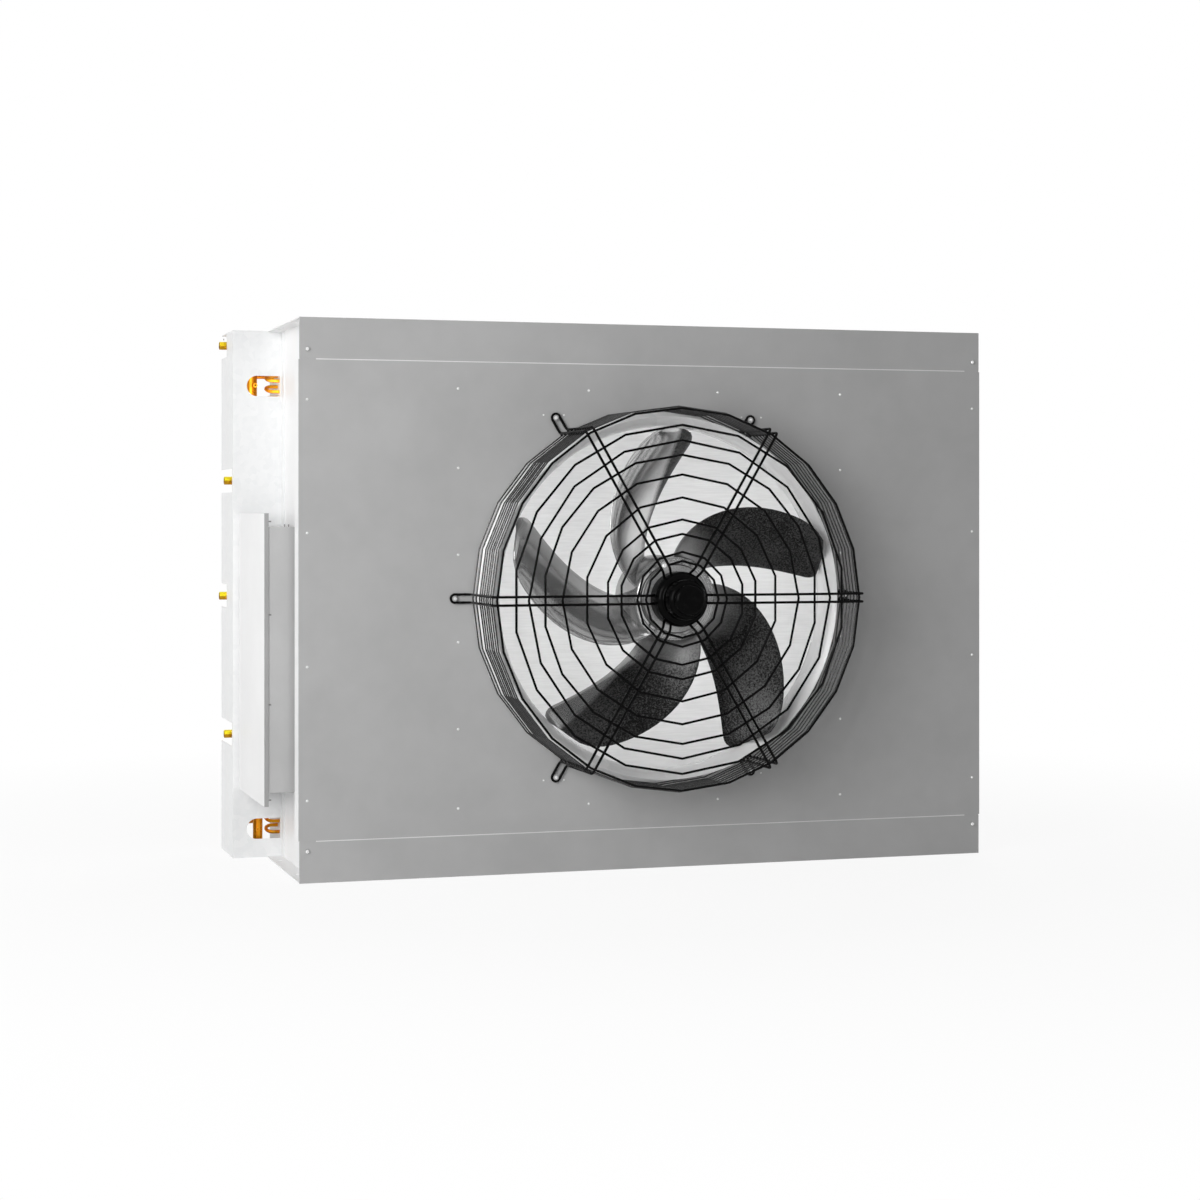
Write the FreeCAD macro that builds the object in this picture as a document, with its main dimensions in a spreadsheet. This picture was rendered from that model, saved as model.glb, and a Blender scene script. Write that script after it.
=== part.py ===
import FreeCAD, Part
import math
import os

import Sketcher

# A precision air conditioner: a sheet metal fan section with one axial fan behind a wire guard,
# and a finned coil section behind it whose pipework ends stand out at the left.
# X runs to the right along the front, Y runs from the front to the back, Z is up.
# The origin is the middle of the fan section's base. All sizes are in millimetres.

V = FreeCAD.Vector
doc = FreeCAD.newDocument("precision_air_conditioner")
sheet = doc.addObject("Spreadsheet::Sheet", "sizes")
nodes = []


class Length:
    """A size together with the sheet formula that it comes from."""

    def __init__(self, value, text):
        self.value = float(value)
        self.text = text

    def __add__(self, other):
        other = length(other)
        return Length(self.value + other.value, "(%s + %s)" % (self.text, other.text))

    def __sub__(self, other):
        other = length(other)
        return Length(self.value - other.value, "(%s - %s)" % (self.text, other.text))

    def __mul__(self, factor):
        factor = length(factor)
        return Length(self.value * factor.value, "(%s * %s)" % (self.text, factor.text))

    def __truediv__(self, factor):
        factor = length(factor)
        return Length(self.value / factor.value, "(%s / %s)" % (self.text, factor.text))

    def __neg__(self):
        return length(0) - self

    __radd__ = __add__
    __rmul__ = __mul__

    def __rsub__(self, other):
        return length(other) - self


def length(item):
    if isinstance(item, Length):
        return item
    return Length(item, repr(round(float(item), 9)))


row = [0]


def size(name, value):
    """Puts one driving size in the sheet under its name."""
    row[0] += 1
    cell = "A%d" % row[0]
    sheet.set(cell, str(value))
    sheet.setAlias(cell, name)
    return Length(value, "sizes." + name)


# Fan section casing
casing_width = size("casing_width", 1360)
casing_height = size("casing_height", 1030)
casing_depth = size("casing_depth", 360)
casing_sheet = size("casing_sheet", 2)
lip_height = size("lip_height", 75)
lip_setback = size("lip_setback", 1.5)
seam_gap = size("seam_gap", 2)
side_inset = size("side_inset", 32)
rear_flange = size("rear_flange", 25)
panel_return = size("panel_return", 40)
panel_stiffener = size("panel_stiffener", 18)
sheet_fit = size("sheet_fit", 0.3)
mount_hole_radius = size("mount_hole_radius", 5)
mount_hole_front = size("mount_hole_front", 104)
mount_hole_pitch = size("mount_hole_pitch", 190)

# Fan, nozzle and motor, measured from the fan axis and from the front panel's face
blade_tip_radius = size("blade_tip_radius", 318)
tip_gap = size("tip_gap", 2)
nozzle_wall = size("nozzle_wall", 2)
nozzle_reach = size("nozzle_reach", 89)
nozzle_lip_flare = size("nozzle_lip_flare", 17)
nozzle_throat_front = size("nozzle_throat_front", 62)
nozzle_throat_back = size("nozzle_throat_back", 42)
nozzle_bell_flare = size("nozzle_bell_flare", 29)
nozzle_plate_side = size("nozzle_plate_side", 50)
nozzle_plate_gap = size("nozzle_plate_gap", 29)
panel_hole_gap = size("panel_hole_gap", 2)
blade_count = size("blade_count", 5)
blade_thickness = size("blade_thickness", 3)
blade_pitch = size("blade_pitch", 34)
blade_start_angle = size("blade_start_angle", 86)
blade_back_root = size("blade_back_root", 7)
blade_back_tip = size("blade_back_tip", 50)
blade_front_root = size("blade_front_root", 122)
blade_front_tip = size("blade_front_tip", 114)
blade_camber = size("blade_camber", 9)
blade_corner_radius = size("blade_corner_radius", 24)
rotor_radius = size("rotor_radius", 75)
rotor_wall = size("rotor_wall", 5)
rotor_back = size("rotor_back", 5)
rotor_front = size("rotor_front", 127)
hub_sleeve_wall = size("hub_sleeve_wall", 4)
motor_radius = size("motor_radius", 51)
motor_running_gap = size("motor_running_gap", 4)
motor_shoulder = size("motor_shoulder", 160)
motor_nose_back = size("motor_nose_back", 172)
motor_nose_front = size("motor_nose_front", 202)
motor_nose_radius = size("motor_nose_radius", 38)
motor_cap_radius = size("motor_cap_radius", 29)
motor_cap_step = size("motor_cap_step", 3)
motor_cap_front = size("motor_cap_front", 215)
stator_radius = size("stator_radius", 62)
stator_back_gap = size("stator_back_gap", 9)
shaft_radius = size("shaft_radius", 8)
shaft_running_gap = size("shaft_running_gap", 0.05)
bearing_outer_radius = size("bearing_outer_radius", 17.5)
bearing_width = size("bearing_width", 12)
bearing_set_in = size("bearing_set_in", 8)

# Wire guard
guard_reach = size("guard_reach", 171)
arm_wire = size("arm_wire", 4)
ring_wire = size("ring_wire", 3.5)
arm_count = size("arm_count", 6)
arm_wire_pitch = size("arm_wire_pitch", 15)
arm_inner_reach = size("arm_inner_reach", 152)
arm_bend = size("arm_bend", 5)
foot_reach = size("foot_reach", 34)
guard_clearance = size("guard_clearance", 6)
side_ring_first = size("side_ring_first", 5)
side_ring_last = size("side_ring_last", 146)
side_ring_count = size("side_ring_count", 9)
centre_ring_sides = size("centre_ring_sides", 14)
face_ring_sides = size("face_ring_sides", 18)
side_ring_sides = size("side_ring_sides", 24)
ring_past_motor_a = size("ring_past_motor_a", 19.5)
ring_past_motor_b = size("ring_past_motor_b", 36)
ring_past_motor_c = size("ring_past_motor_c", 69)
ring_past_motor_d = size("ring_past_motor_d", 95.5)
ring_from_middle = size("ring_from_middle", 16)
ring_inset_f = size("ring_inset_f", 126)
ring_inset_g = size("ring_inset_g", 90)
ring_inset_h = size("ring_inset_h", 63)
ring_inset_i = size("ring_inset_i", 35)
ring_inset_j = size("ring_inset_j", 4)
screw_head_radius = size("screw_head_radius", 8)
screw_head_height = size("screw_head_height", 5)
screw_shank_radius = size("screw_shank_radius", 3.5)
corner_screw_inset = size("corner_screw_inset", 16)
corner_screw_rise = size("corner_screw_rise", 58)
corner_screw_radius = size("corner_screw_radius", 5)
corner_screw_height = size("corner_screw_height", 3)

# Coil section
coil_depth = size("coil_depth", 152)
coil_sheet = size("coil_sheet", 1.5)
coil_flange = size("coil_flange", 27)
coil_rear_lip = size("coil_rear_lip", 20)
header_cover_reach = size("header_cover_reach", 65)
window_reach = size("window_reach", 38)
window_height = size("window_height", 40)
window_rise = size("window_rise", 56)
window_drop = size("window_drop", 108)
notch_height = size("notch_height", 46)
rear_notch_depth = size("rear_notch_depth", 71)
front_notch_depth = size("front_notch_depth", 140)
fin_setback = size("fin_setback", 12)
fin_pitch = size("fin_pitch", 36)
fin_thickness = size("fin_thickness", 3)
fin_web = size("fin_web", 4)
bend_radius = size("bend_radius", 24)
bend_tube_radius = size("bend_tube_radius", 4.75)
bend_pitch = size("bend_pitch", 240)
bend_count = size("bend_count", 4)
bend_back = size("bend_back", 65)
gas_header_radius = size("gas_header_radius", 14)
gas_header_out = size("gas_header_out", 16)
gas_header_back = size("gas_header_back", 100)
liquid_header_radius = size("liquid_header_radius", 9.5)
liquid_header_out = size("liquid_header_out", 11)
liquid_header_back = size("liquid_header_back", 35)
header_end = size("header_end", 11)
stub_radius = size("stub_radius", 7.94)
stub_bore = size("stub_bore", 6.9)
stub_reach = size("stub_reach", 77)
stub_collar_radius = size("stub_collar_radius", 9)
stub_collar_width = size("stub_collar_width", 3.5)
stub_rise_a = size("stub_rise_a", 1006)
stub_rise_b = size("stub_rise_b", 737)
stub_rise_c = size("stub_rise_c", 509)
stub_rise_d = size("stub_rise_d", 240)
gas_header_gap = size("gas_header_gap", 47)
gas_header_foot = size("gas_header_foot", 70)
liquid_header_length = size("liquid_header_length", 200)
feeder_radius = size("feeder_radius", 3.5)
feeder_inset = size("feeder_inset", 60)

# Connection box on the left side
box_front = size("box_front", 58)
box_back_gap = size("box_back_gap", 2)
box_low = size("box_low", 160)
box_high = size("box_high", 648)
box_sheet = size("box_sheet", 1.5)
cover_reach = size("cover_reach", 53)
cover_overlap = size("cover_overlap", 25)
cover_lip = size("cover_lip", 8)
rail_width = size("rail_width", 35)
rail_depth = size("rail_depth", 7)
terminal_height = size("terminal_height", 240)
terminal_width = size("terminal_width", 44)
terminal_depth = size("terminal_depth", 38)
gland_radius = size("gland_radius", 12)
gland_shank_radius = size("gland_shank_radius", 9.7)
gland_hole_radius = size("gland_hole_radius", 10)
gland_bore = size("gland_bore", 6)
gland_drop = size("gland_drop", 18)
gland_back = size("gland_back", 240)
doc.recompute()

half_width = casing_width / 2
mid_height = casing_height / 2
front_plane = -(casing_depth / 2)


def sheet_value(item):
    """The value that a formula has in the sheet."""
    return float(sheet.evalExpression(item.text.replace("sizes.", "")))


def place(item, x=0, y=0, z=0):
    """Seats a sub-part at x, z and at y behind the front panel's face."""
    item.setExpression("Placement.Base.x", length(x).text)
    item.setExpression("Placement.Base.y", (front_plane + y).text)
    item.setExpression("Placement.Base.z", length(z).text)


def keep(item, name, x=0, y=0, z=0):
    """Names a finished sub-part, seats it and lists it for writing."""
    item.Label = name
    place(item, x, y, z)
    nodes.append((name, item))
    return item


def new_body(name):
    return doc.addObject("PartDesign::Body", name + "_body")


def origin_item(body, role):
    return [item for item in body.Origin.OriginFeatures if item.Role == role][0]


def pin_point(sketch, index, position, point):
    """Fixes one point of a sketch at the sheet's values."""
    across = Sketcher.Constraint("DistanceX", -1, 1, index, position, point[0].value)
    number = sketch.addConstraint(across)
    sketch.setExpression("Constraints[%d]" % number, point[0].text)
    upward = Sketcher.Constraint("DistanceY", -1, 1, index, position, point[1].value)
    number = sketch.addConstraint(upward)
    sketch.setExpression("Constraints[%d]" % number, point[1].text)


def flat(point):
    return V(point[0].value, point[1].value, 0)


def add_outline(sketch, points):
    """Draws a closed outline. A point marked via is passed by an arc between its neighbours."""
    corners = []
    for item in points:
        if item[0] == "via":
            corners[-1][1] = (length(item[1]), length(item[2]))
        else:
            corners.append([(length(item[0]), length(item[1])), None])
    ends = []
    for number, (start, via) in enumerate(corners):
        finish = corners[(number + 1) % len(corners)][0]
        if via is None:
            index = sketch.addGeometry(Part.LineSegment(flat(start), flat(finish)), False)
            ends.append((index, 1, 2))
            continue
        turn = (flat(via) - flat(start)).cross(flat(finish) - flat(via)).z
        if turn > 0:
            index = sketch.addGeometry(Part.Arc(flat(start), flat(via), flat(finish)), False)
            ends.append((index, 1, 2))
        else:
            index = sketch.addGeometry(Part.Arc(flat(finish), flat(via), flat(start)), False)
            ends.append((index, 2, 1))
        mark = sketch.addGeometry(Part.Point(flat(via)), True)
        pin_point(sketch, mark, 1, via)
        sketch.addConstraint(Sketcher.Constraint("PointOnObject", mark, 1, index))
    for number, (index, first, last) in enumerate(ends):
        after = ends[(number + 1) % len(ends)]
        sketch.addConstraint(Sketcher.Constraint("Coincident", index, last, after[0], after[1]))
        pin_point(sketch, index, first, corners[number][0])


def add_circle(sketch, across, upward, radius):
    centre = (length(across), length(upward))
    radius = length(radius)
    index = sketch.addGeometry(Part.Circle(flat(centre), V(0, 0, 1), radius.value), False)
    number = sketch.addConstraint(Sketcher.Constraint("Radius", index, radius.value))
    sketch.setExpression("Constraints[%d]" % number, radius.text)
    pin_point(sketch, index, 3, centre)


def new_sketch(body, name, plane, loops, offset=0):
    """A sketch on one of the body's own origin planes."""
    sketch = body.newObject("Sketcher::SketchObject", name)
    sketch.AttachmentSupport = [(origin_item(body, plane), "")]
    sketch.MapMode = "FlatFace"
    sketch.setExpression("AttachmentOffset.Base.z", length(offset).text)
    for loop in loops:
        if loop[0] == "circle":
            add_circle(sketch, loop[1], loop[2], loop[3])
        else:
            add_outline(sketch, loop)
    return sketch


def extrude(body, name, plane, loops, low, high, cut=False):
    """Pads, or cuts, the outlines from low to high along the plane's own axis."""
    low, high = length(low), length(high)
    offset = -high if plane == "XZ_Plane" else low
    sketch = new_sketch(body, name + "_sketch", plane, loops, offset)
    before = body.Shape.Volume if cut else 0
    kind = "PartDesign::Pocket" if cut else "PartDesign::Pad"
    feature = body.newObject(kind, name)
    feature.Profile = sketch
    feature.setExpression("Length", (high - low).text)
    if cut:
        feature.Reversed = True
    doc.recompute()
    if cut and body.Shape.Volume > before - 1e-3:
        raise ValueError("the cut %s removed nothing" % name)
    return feature


def turned(body, name, loops, angle=360):
    """Revolves outlines given as position along Y and radius about the Y axis."""
    sketch = new_sketch(body, name + "_sketch", "YZ_Plane", loops)
    feature = body.newObject("PartDesign::Revolution", name)
    feature.Profile = sketch
    feature.ReferenceAxis = (origin_item(body, "Y_Axis"), [""])
    feature.Angle = angle
    doc.recompute()
    return feature


def rectangle(left, low, right, high):
    return [(left, low), (right, low), (right, high), (left, high)]


def hexagon(across, upward, radius):
    corners = []
    for number in range(6):
        angle = math.radians(60 * number)
        corner_x = length(across) + radius * math.cos(angle)
        corner_y = length(upward) + radius * math.sin(angle)
        corners.append((corner_x, corner_y))
    return corners


def block(name, left, right, front, back, low, high):
    """A plain box between six faces."""
    item = doc.addObject("Part::Box", name + "_block")
    item.setExpression("Length", (length(right) - left).text)
    item.setExpression("Width", (length(back) - front).text)
    item.setExpression("Height", (length(high) - low).text)
    return keep(item, name, left, front, low)


# Top and bottom panels: one sheet each, with a tall lip at the front and a flange at the back
def cap_panel(name, top):
    body = new_body(name)

    def up(rise):
        return casing_height - rise if top else length(rise)

    side = half_width - lip_setback
    profile = [
        (0, up(lip_height)),
        (0, up(0)),
        (casing_depth, up(0)),
        (casing_depth, up(casing_sheet)),
        (casing_sheet, up(casing_sheet)),
        (casing_sheet, up(lip_height)),
    ]
    extrude(body, name + "_bent_sheet", "YZ_Plane", [profile], -side, side)
    inner = half_width - side_inset - casing_sheet - rear_flange
    if top:
        strip = rectangle(-inner, up(rear_flange), inner, up(casing_sheet))
    else:
        strip = rectangle(-inner, up(casing_sheet), inner, up(rear_flange))
    extrude(body, name + "_back", "XZ_Plane", [strip], casing_depth - casing_sheet, casing_depth)
    holes = []
    for sign in (-1, 1):
        across = (half_width - side_inset / 2) * sign
        for depth in (mount_hole_front, mount_hole_front + mount_hole_pitch):
            holes.append(("circle", across, depth, mount_hole_radius))
    low = up(casing_sheet) if top else up(0)
    high = up(0) if top else up(casing_sheet)
    extrude(body, name + "_holes", "XY_Plane", holes, low, high, cut=True)
    return keep(body, name)


cap_panel("top_panel", True)
cap_panel("bottom_panel", False)


# Side panels: set in from the edges, with an outward flange in front and an inward one behind
def side_panel(name, sign):
    body = new_body(name)
    web_out = (half_width - side_inset) * sign
    web_in = (half_width - side_inset - casing_sheet) * sign
    edge = (half_width - casing_sheet - sheet_fit) * sign
    tail = (half_width - side_inset - casing_sheet - rear_flange) * sign
    profile = [
        (edge, casing_sheet),
        (edge, casing_sheet * 2),
        (web_out, casing_sheet * 2),
        (web_out, casing_depth),
        (tail, casing_depth),
        (tail, casing_depth - casing_sheet),
        (web_in, casing_depth - casing_sheet),
        (web_in, casing_sheet),
    ]
    high = casing_height - casing_sheet
    extrude(body, name + "_bent_sheet", "XY_Plane", [profile], casing_sheet, high)
    return keep(body, name)


side_panel("side_panel_left", -1)
side_panel("side_panel_right", 1)

# Fan panel: folded back at all four edges, with the round opening for the nozzle
throat_radius = blade_tip_radius + tip_gap
bell_radius = throat_radius + nozzle_bell_flare
ring_base_radius = bell_radius + nozzle_wall * 1.5
panel_hole_radius = ring_base_radius + panel_hole_gap
body = new_body("fan_panel")
profile = [
    (-half_width, 0),
    (half_width, 0),
    (half_width, panel_return),
    (half_width - casing_sheet, panel_return),
    (half_width - casing_sheet, casing_sheet),
    (casing_sheet - half_width, casing_sheet),
    (casing_sheet - half_width, panel_return),
    (-half_width, panel_return),
]
panel_low = lip_height + seam_gap
panel_high = casing_height - lip_height - seam_gap
extrude(body, "fan_panel_bent_sheet", "XY_Plane", [profile], panel_low, panel_high)
fold = half_width - side_inset - casing_sheet - sheet_fit
strips = [
    rectangle(-fold, panel_low, fold, panel_low + casing_sheet),
    rectangle(-fold, panel_high - casing_sheet, fold, panel_high),
]
extrude(body, "fan_panel_folds", "XZ_Plane", strips, casing_sheet, panel_stiffener)
hole = ("circle", 0, mid_height, panel_hole_radius)
extrude(body, "fan_panel_opening", "XZ_Plane", [hole], 0, casing_sheet, cut=True)
keep(body, "fan_panel")

# Nozzle: a plate behind the fan panel, and a ring that stands forward from the plate's hole,
# narrowest at the blade tips and flared again at its front lip. The ring is pressed in four
# quarters that meet on the diagonals.
body = new_body("nozzle_plate")
plate_half = ring_base_radius + nozzle_plate_side
plate_rise = (panel_high - panel_low) / 2 - nozzle_plate_gap
plate = [
    rectangle(-plate_half, -plate_rise, plate_half, plate_rise),
    ("circle", 0, 0, ring_base_radius),
]
extrude(body, "plate_sheet", "XZ_Plane", plate, casing_sheet, casing_sheet * 2)
keep(body, "nozzle_plate", 0, 0, mid_height)

outer_throat = throat_radius + nozzle_wall
bell_mid = nozzle_throat_back * 0.35
flare_mid = nozzle_throat_front * 0.4 + nozzle_reach * 0.6
profile = [
    (casing_sheet * 2, bell_radius),
    (-bell_mid, throat_radius + nozzle_bell_flare * 0.31),
    (-nozzle_throat_back, throat_radius),
    (-nozzle_throat_front, throat_radius),
    (-flare_mid, throat_radius + nozzle_lip_flare * 0.3),
    (-nozzle_reach, throat_radius + nozzle_lip_flare),
    (nozzle_wall * 0.6 - nozzle_reach, outer_throat + nozzle_lip_flare),
    (-nozzle_throat_front, outer_throat),
    (-nozzle_throat_back, outer_throat),
    (casing_sheet, ring_base_radius),
    (casing_sheet * 2, ring_base_radius),
]
quarters = []
for number in range(4):
    body = new_body("nozzle_quarter_%d" % (number + 1))
    turned(body, "nozzle_ring_%d" % (number + 1), [profile], 90)
    turn = FreeCAD.Rotation(V(0, 1, 0), 45 + 90 * number)
    body.Placement = FreeCAD.Placement(V(0, 0, 0), turn)
    quarters.append(body)
group = doc.addObject("Part::Compound", "fan_nozzle_set")
group.Links = quarters
doc.recompute()
keep(group, "fan_nozzle", 0, 0, mid_height)

# Guard rings: each wire ring is bent in short straight runs, so it is one many-sided prism
# less a smaller one
def wire_ring(name, radius, depth, sides):
    """A ring of square wire whose front face is at depth in front of the panel."""
    slant = 1 / math.cos(math.pi / sheet_value(sides))
    upright = FreeCAD.Rotation(V(0, 1, 0), -90) * FreeCAD.Rotation(V(1, 0, 0), 90)
    outer = doc.addObject("Part::Prism", name + "_outer")
    outer.setExpression("Circumradius", (radius + ring_wire / 2).text)
    inner = doc.addObject("Part::Prism", name + "_inner")
    inner.setExpression("Circumradius", (radius + ring_wire / 2 - ring_wire * slant).text)
    for item in (outer, inner):
        item.setExpression("Polygon", sides.text)
        item.setExpression("Height", ring_wire.text)
        item.Placement = FreeCAD.Placement(V(0, 0, 0), upright)
    ring = doc.addObject("Part::Cut", name)
    ring.Base = outer
    ring.Tool = inner
    ring.setExpression("Placement.Base.y", (ring_wire - depth).text)
    return ring


def ring_set(name, rings):
    group = doc.addObject("Part::Compound", name + "_set")
    group.Links = rings
    doc.recompute()
    return keep(group, name, 0, 0, mid_height)


face_depth = guard_reach - arm_wire
side_ring_radius = bell_radius + guard_clearance
foot_screw_radius = side_ring_radius + foot_reach
centre_radii = [
    motor_radius + ring_past_motor_a,
    motor_radius + ring_past_motor_b,
    motor_radius + ring_past_motor_c,
    motor_radius + ring_past_motor_d,
    (motor_radius + side_ring_radius) / 2 - ring_from_middle,
]
outer_radii = [
    side_ring_radius - ring_inset_f,
    side_ring_radius - ring_inset_g,
    side_ring_radius - ring_inset_h,
    side_ring_radius - ring_inset_i,
    side_ring_radius - ring_inset_j,
]
for name, radii, sides in (
    ("guard_centre_rings", centre_radii, centre_ring_sides),
    ("guard_face_rings", outer_radii, face_ring_sides),
):
    rings = []
    for number, radius in enumerate(radii):
        rings.append(wire_ring("%s_wire_%d" % (name, number + 1), radius, face_depth, sides))
    ring_set(name, rings)
rings = []
last = int(sheet_value(side_ring_count)) - 1
for number in range(last + 1):
    share = number / last
    depth = side_ring_first * (1 - share) + side_ring_last * share + ring_wire / 2
    ring = wire_ring("side_wire_%d" % (number + 1), side_ring_radius, depth, side_ring_sides)
    rings.append(ring)
ring_set("guard_side_rings", rings[:-1])
ring_set("guard_rim_ring", rings[-1:])

# Guard arms: a pair of wires from the motor over the face, back along the side to the panel
# and round in a loop that holds one screw
body = new_body("guard_arms")
leg_in = side_ring_radius + ring_wire / 2
leg_out = leg_in + arm_wire
arm_start = motor_radius - 0.2
profile = [
    (arm_start, -arm_inner_reach),
    (arm_start, -(arm_inner_reach + arm_wire)),
    (arm_start + arm_bend, -guard_reach),
    (leg_out - arm_bend, -guard_reach),
    (leg_out, arm_bend - guard_reach),
    (leg_out, -arm_wire),
    (foot_screw_radius, -arm_wire),
    (foot_screw_radius, 0),
    (leg_in, 0),
    (leg_in, arm_bend + arm_wire / 2 - guard_reach),
    (leg_out - arm_bend - arm_wire / 2, arm_wire - guard_reach),
    (arm_start + arm_bend + arm_wire / 2, arm_wire - guard_reach),
]
near = (arm_wire_pitch - arm_wire) / 2
far = (arm_wire_pitch + arm_wire) / 2
upper = extrude(body, "arm_wire_upper", "XY_Plane", [profile], near, far)
lower = extrude(body, "arm_wire_lower", "XY_Plane", [profile], -far, -near)
loop = [
    (foot_screw_radius, -far),
    ("via", foot_screw_radius + far, 0),
    (foot_screw_radius, far),
    (foot_screw_radius, near),
    ("via", foot_screw_radius + near, 0),
    (foot_screw_radius, -near),
]
foot = extrude(body, "arm_foot", "XZ_Plane", [loop], -arm_wire, 0)
arms = body.newObject("PartDesign::PolarPattern", "arms")
arms.Originals = [upper, lower, foot]
arms.Axis = (origin_item(body, "Y_Axis"), [""])
arms.Angle = 360
arms.setExpression("Occurrences", arm_count.text)
body.Tip = arms
doc.recompute()
keep(body, "guard_arms", 0, 0, mid_height)

# Guard screws: a hexagon head on each loop, with its shank through it to the panel
body = new_body("guard_screws")
head = hexagon(foot_screw_radius, 0, screw_head_radius)
shank = hexagon(foot_screw_radius, 0, screw_shank_radius)
head_front = -(arm_wire + screw_head_height)
first = extrude(body, "guard_head", "XZ_Plane", [head], head_front, -arm_wire)
second = extrude(body, "guard_shank", "XZ_Plane", [shank], -arm_wire, 0)
screws = body.newObject("PartDesign::PolarPattern", "guard_screw_ring")
screws.Originals = [first, second]
screws.Axis = (origin_item(body, "Y_Axis"), [""])
screws.Angle = 360
screws.setExpression("Occurrences", arm_count.text)
body.Tip = screws
doc.recompute()
keep(body, "guard_screws", 0, 0, mid_height)

# Corner screws of the top and bottom panels
body = new_body("panel_screws")
heads = []
for sign in (-1, 1):
    across = (half_width - corner_screw_inset) * sign
    for upward in (corner_screw_rise, casing_height - corner_screw_rise):
        heads.append(hexagon(across, upward, corner_screw_radius))
extrude(body, "corner_heads", "XZ_Plane", heads, -corner_screw_height, 0)
keep(body, "panel_screws")

# Motor: a fixed housing held by the guard arms, and the stator that stands in the rotor
housing_back = rotor_front + motor_running_gap
body = new_body("motor_housing")
profile = [
    (-housing_back, 0),
    (-housing_back, motor_radius),
    (-motor_shoulder, motor_radius),
    (-motor_nose_back, motor_radius * 0.86),
    (-motor_nose_back, motor_nose_radius),
    (-(motor_nose_front * 0.8 + motor_nose_back * 0.2), motor_nose_radius),
    (-motor_nose_front, motor_cap_radius + motor_cap_step),
    (-motor_nose_front, 0),
]
turned(body, "housing", [profile])
keep(body, "motor_housing", 0, 0, mid_height)

body = new_body("motor_cap")
profile = [
    (-motor_nose_front, 0),
    (-motor_nose_front, motor_cap_radius),
    (-(motor_nose_front * 0.5 + motor_cap_front * 0.5), motor_cap_radius),
    (-motor_cap_front, motor_cap_radius * 0.85),
    (-motor_cap_front, 0),
]
turned(body, "cap", [profile])
keep(body, "motor_cap", 0, 0, mid_height)

body = new_body("motor_stator")
stator_back = rotor_back + rotor_wall + stator_back_gap
profile = rectangle(-housing_back, bearing_outer_radius, -stator_back, stator_radius)
turned(body, "stator", [profile])
keep(body, "motor_stator", 0, 0, mid_height)


# Two bearings in the stator's bore carry the shaft
body = new_body("motor_bearings")
race_in = shaft_radius + shaft_running_gap
loops = []
for start in (stator_back + bearing_set_in, housing_back - bearing_set_in - bearing_width):
    loops.append(rectangle(-(start + bearing_width), race_in, -start, bearing_outer_radius))
turned(body, "bearing_rings", loops)
keep(body, "motor_bearings", 0, 0, mid_height)

# Rotor: a closed drum on the shaft, which turns with the impeller
body = new_body("rotor_shell")
profile = [
    (-rotor_back, 0),
    (-rotor_back, rotor_radius),
    (-rotor_front, rotor_radius),
    (-rotor_front, rotor_radius - rotor_wall),
    (-(rotor_back + rotor_wall), rotor_radius - rotor_wall),
    (-(rotor_back + rotor_wall), 0),
]
turned(body, "drum", [profile])
keep(body, "rotor_shell", 0, 0, mid_height)

shaft = doc.addObject("Part::Cylinder", "shaft_rod")
shaft.setExpression("Radius", shaft_radius.text)
shaft_length = housing_back - motor_running_gap - rotor_back - rotor_wall
shaft.setExpression("Height", shaft_length.text)
shaft.Placement = FreeCAD.Placement(V(0, 0, 0), FreeCAD.Rotation(V(1, 0, 0), 90))
keep(shaft, "motor_shaft", 0, -(rotor_back + rotor_wall), mid_height)

# Impeller: five sickle blades on a sleeve round the rotor. Each blade is a twisted, cambered
# sheet of flat facets between its two edges, with rounded corners at the tip.
doc.recompute()


def edge_angle(reach, middle, slope, curve):
    """Angle from the blade's tip line, in degrees, of an edge at a share of the tip radius."""
    step = 3.18 * reach - 2
    return middle + slope * step + curve * step * step


def blade_point(radius, share):
    """A point of the blade's front: share 0 is the back edge and 1 the front edge."""
    tip = sheet_value(blade_tip_radius)
    root = sheet_value(rotor_radius)
    along = (radius - root) / (tip - root)
    low = edge_angle(radius / tip, 2.3, -12.2, 2.4)
    high = edge_angle(radius / tip, 41.8, -28.3, 1.0)
    # The corners at the tip are round: there both edges draw in towards the middle
    corner = sheet_value(blade_corner_radius)
    inside = min(max(radius - (tip - corner), 0), corner)
    draw = corner - math.sqrt(corner * corner - inside * inside)
    trim = draw / math.radians(high - low) / radius
    share = trim + (1 - 2 * trim) * share
    back = sheet_value(blade_back_root) * (1 - along) + sheet_value(blade_back_tip) * along
    front = sheet_value(blade_front_root) * (1 - along)
    front += sheet_value(blade_front_tip) * along
    bulge = 4 * share * (1 - share) * sheet_value(blade_camber)
    depth = back + (front - back) * share + bulge
    angle = math.radians(low + (high - low) * share)
    return V(radius * math.cos(angle), -depth, radius * math.sin(angle))


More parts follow.
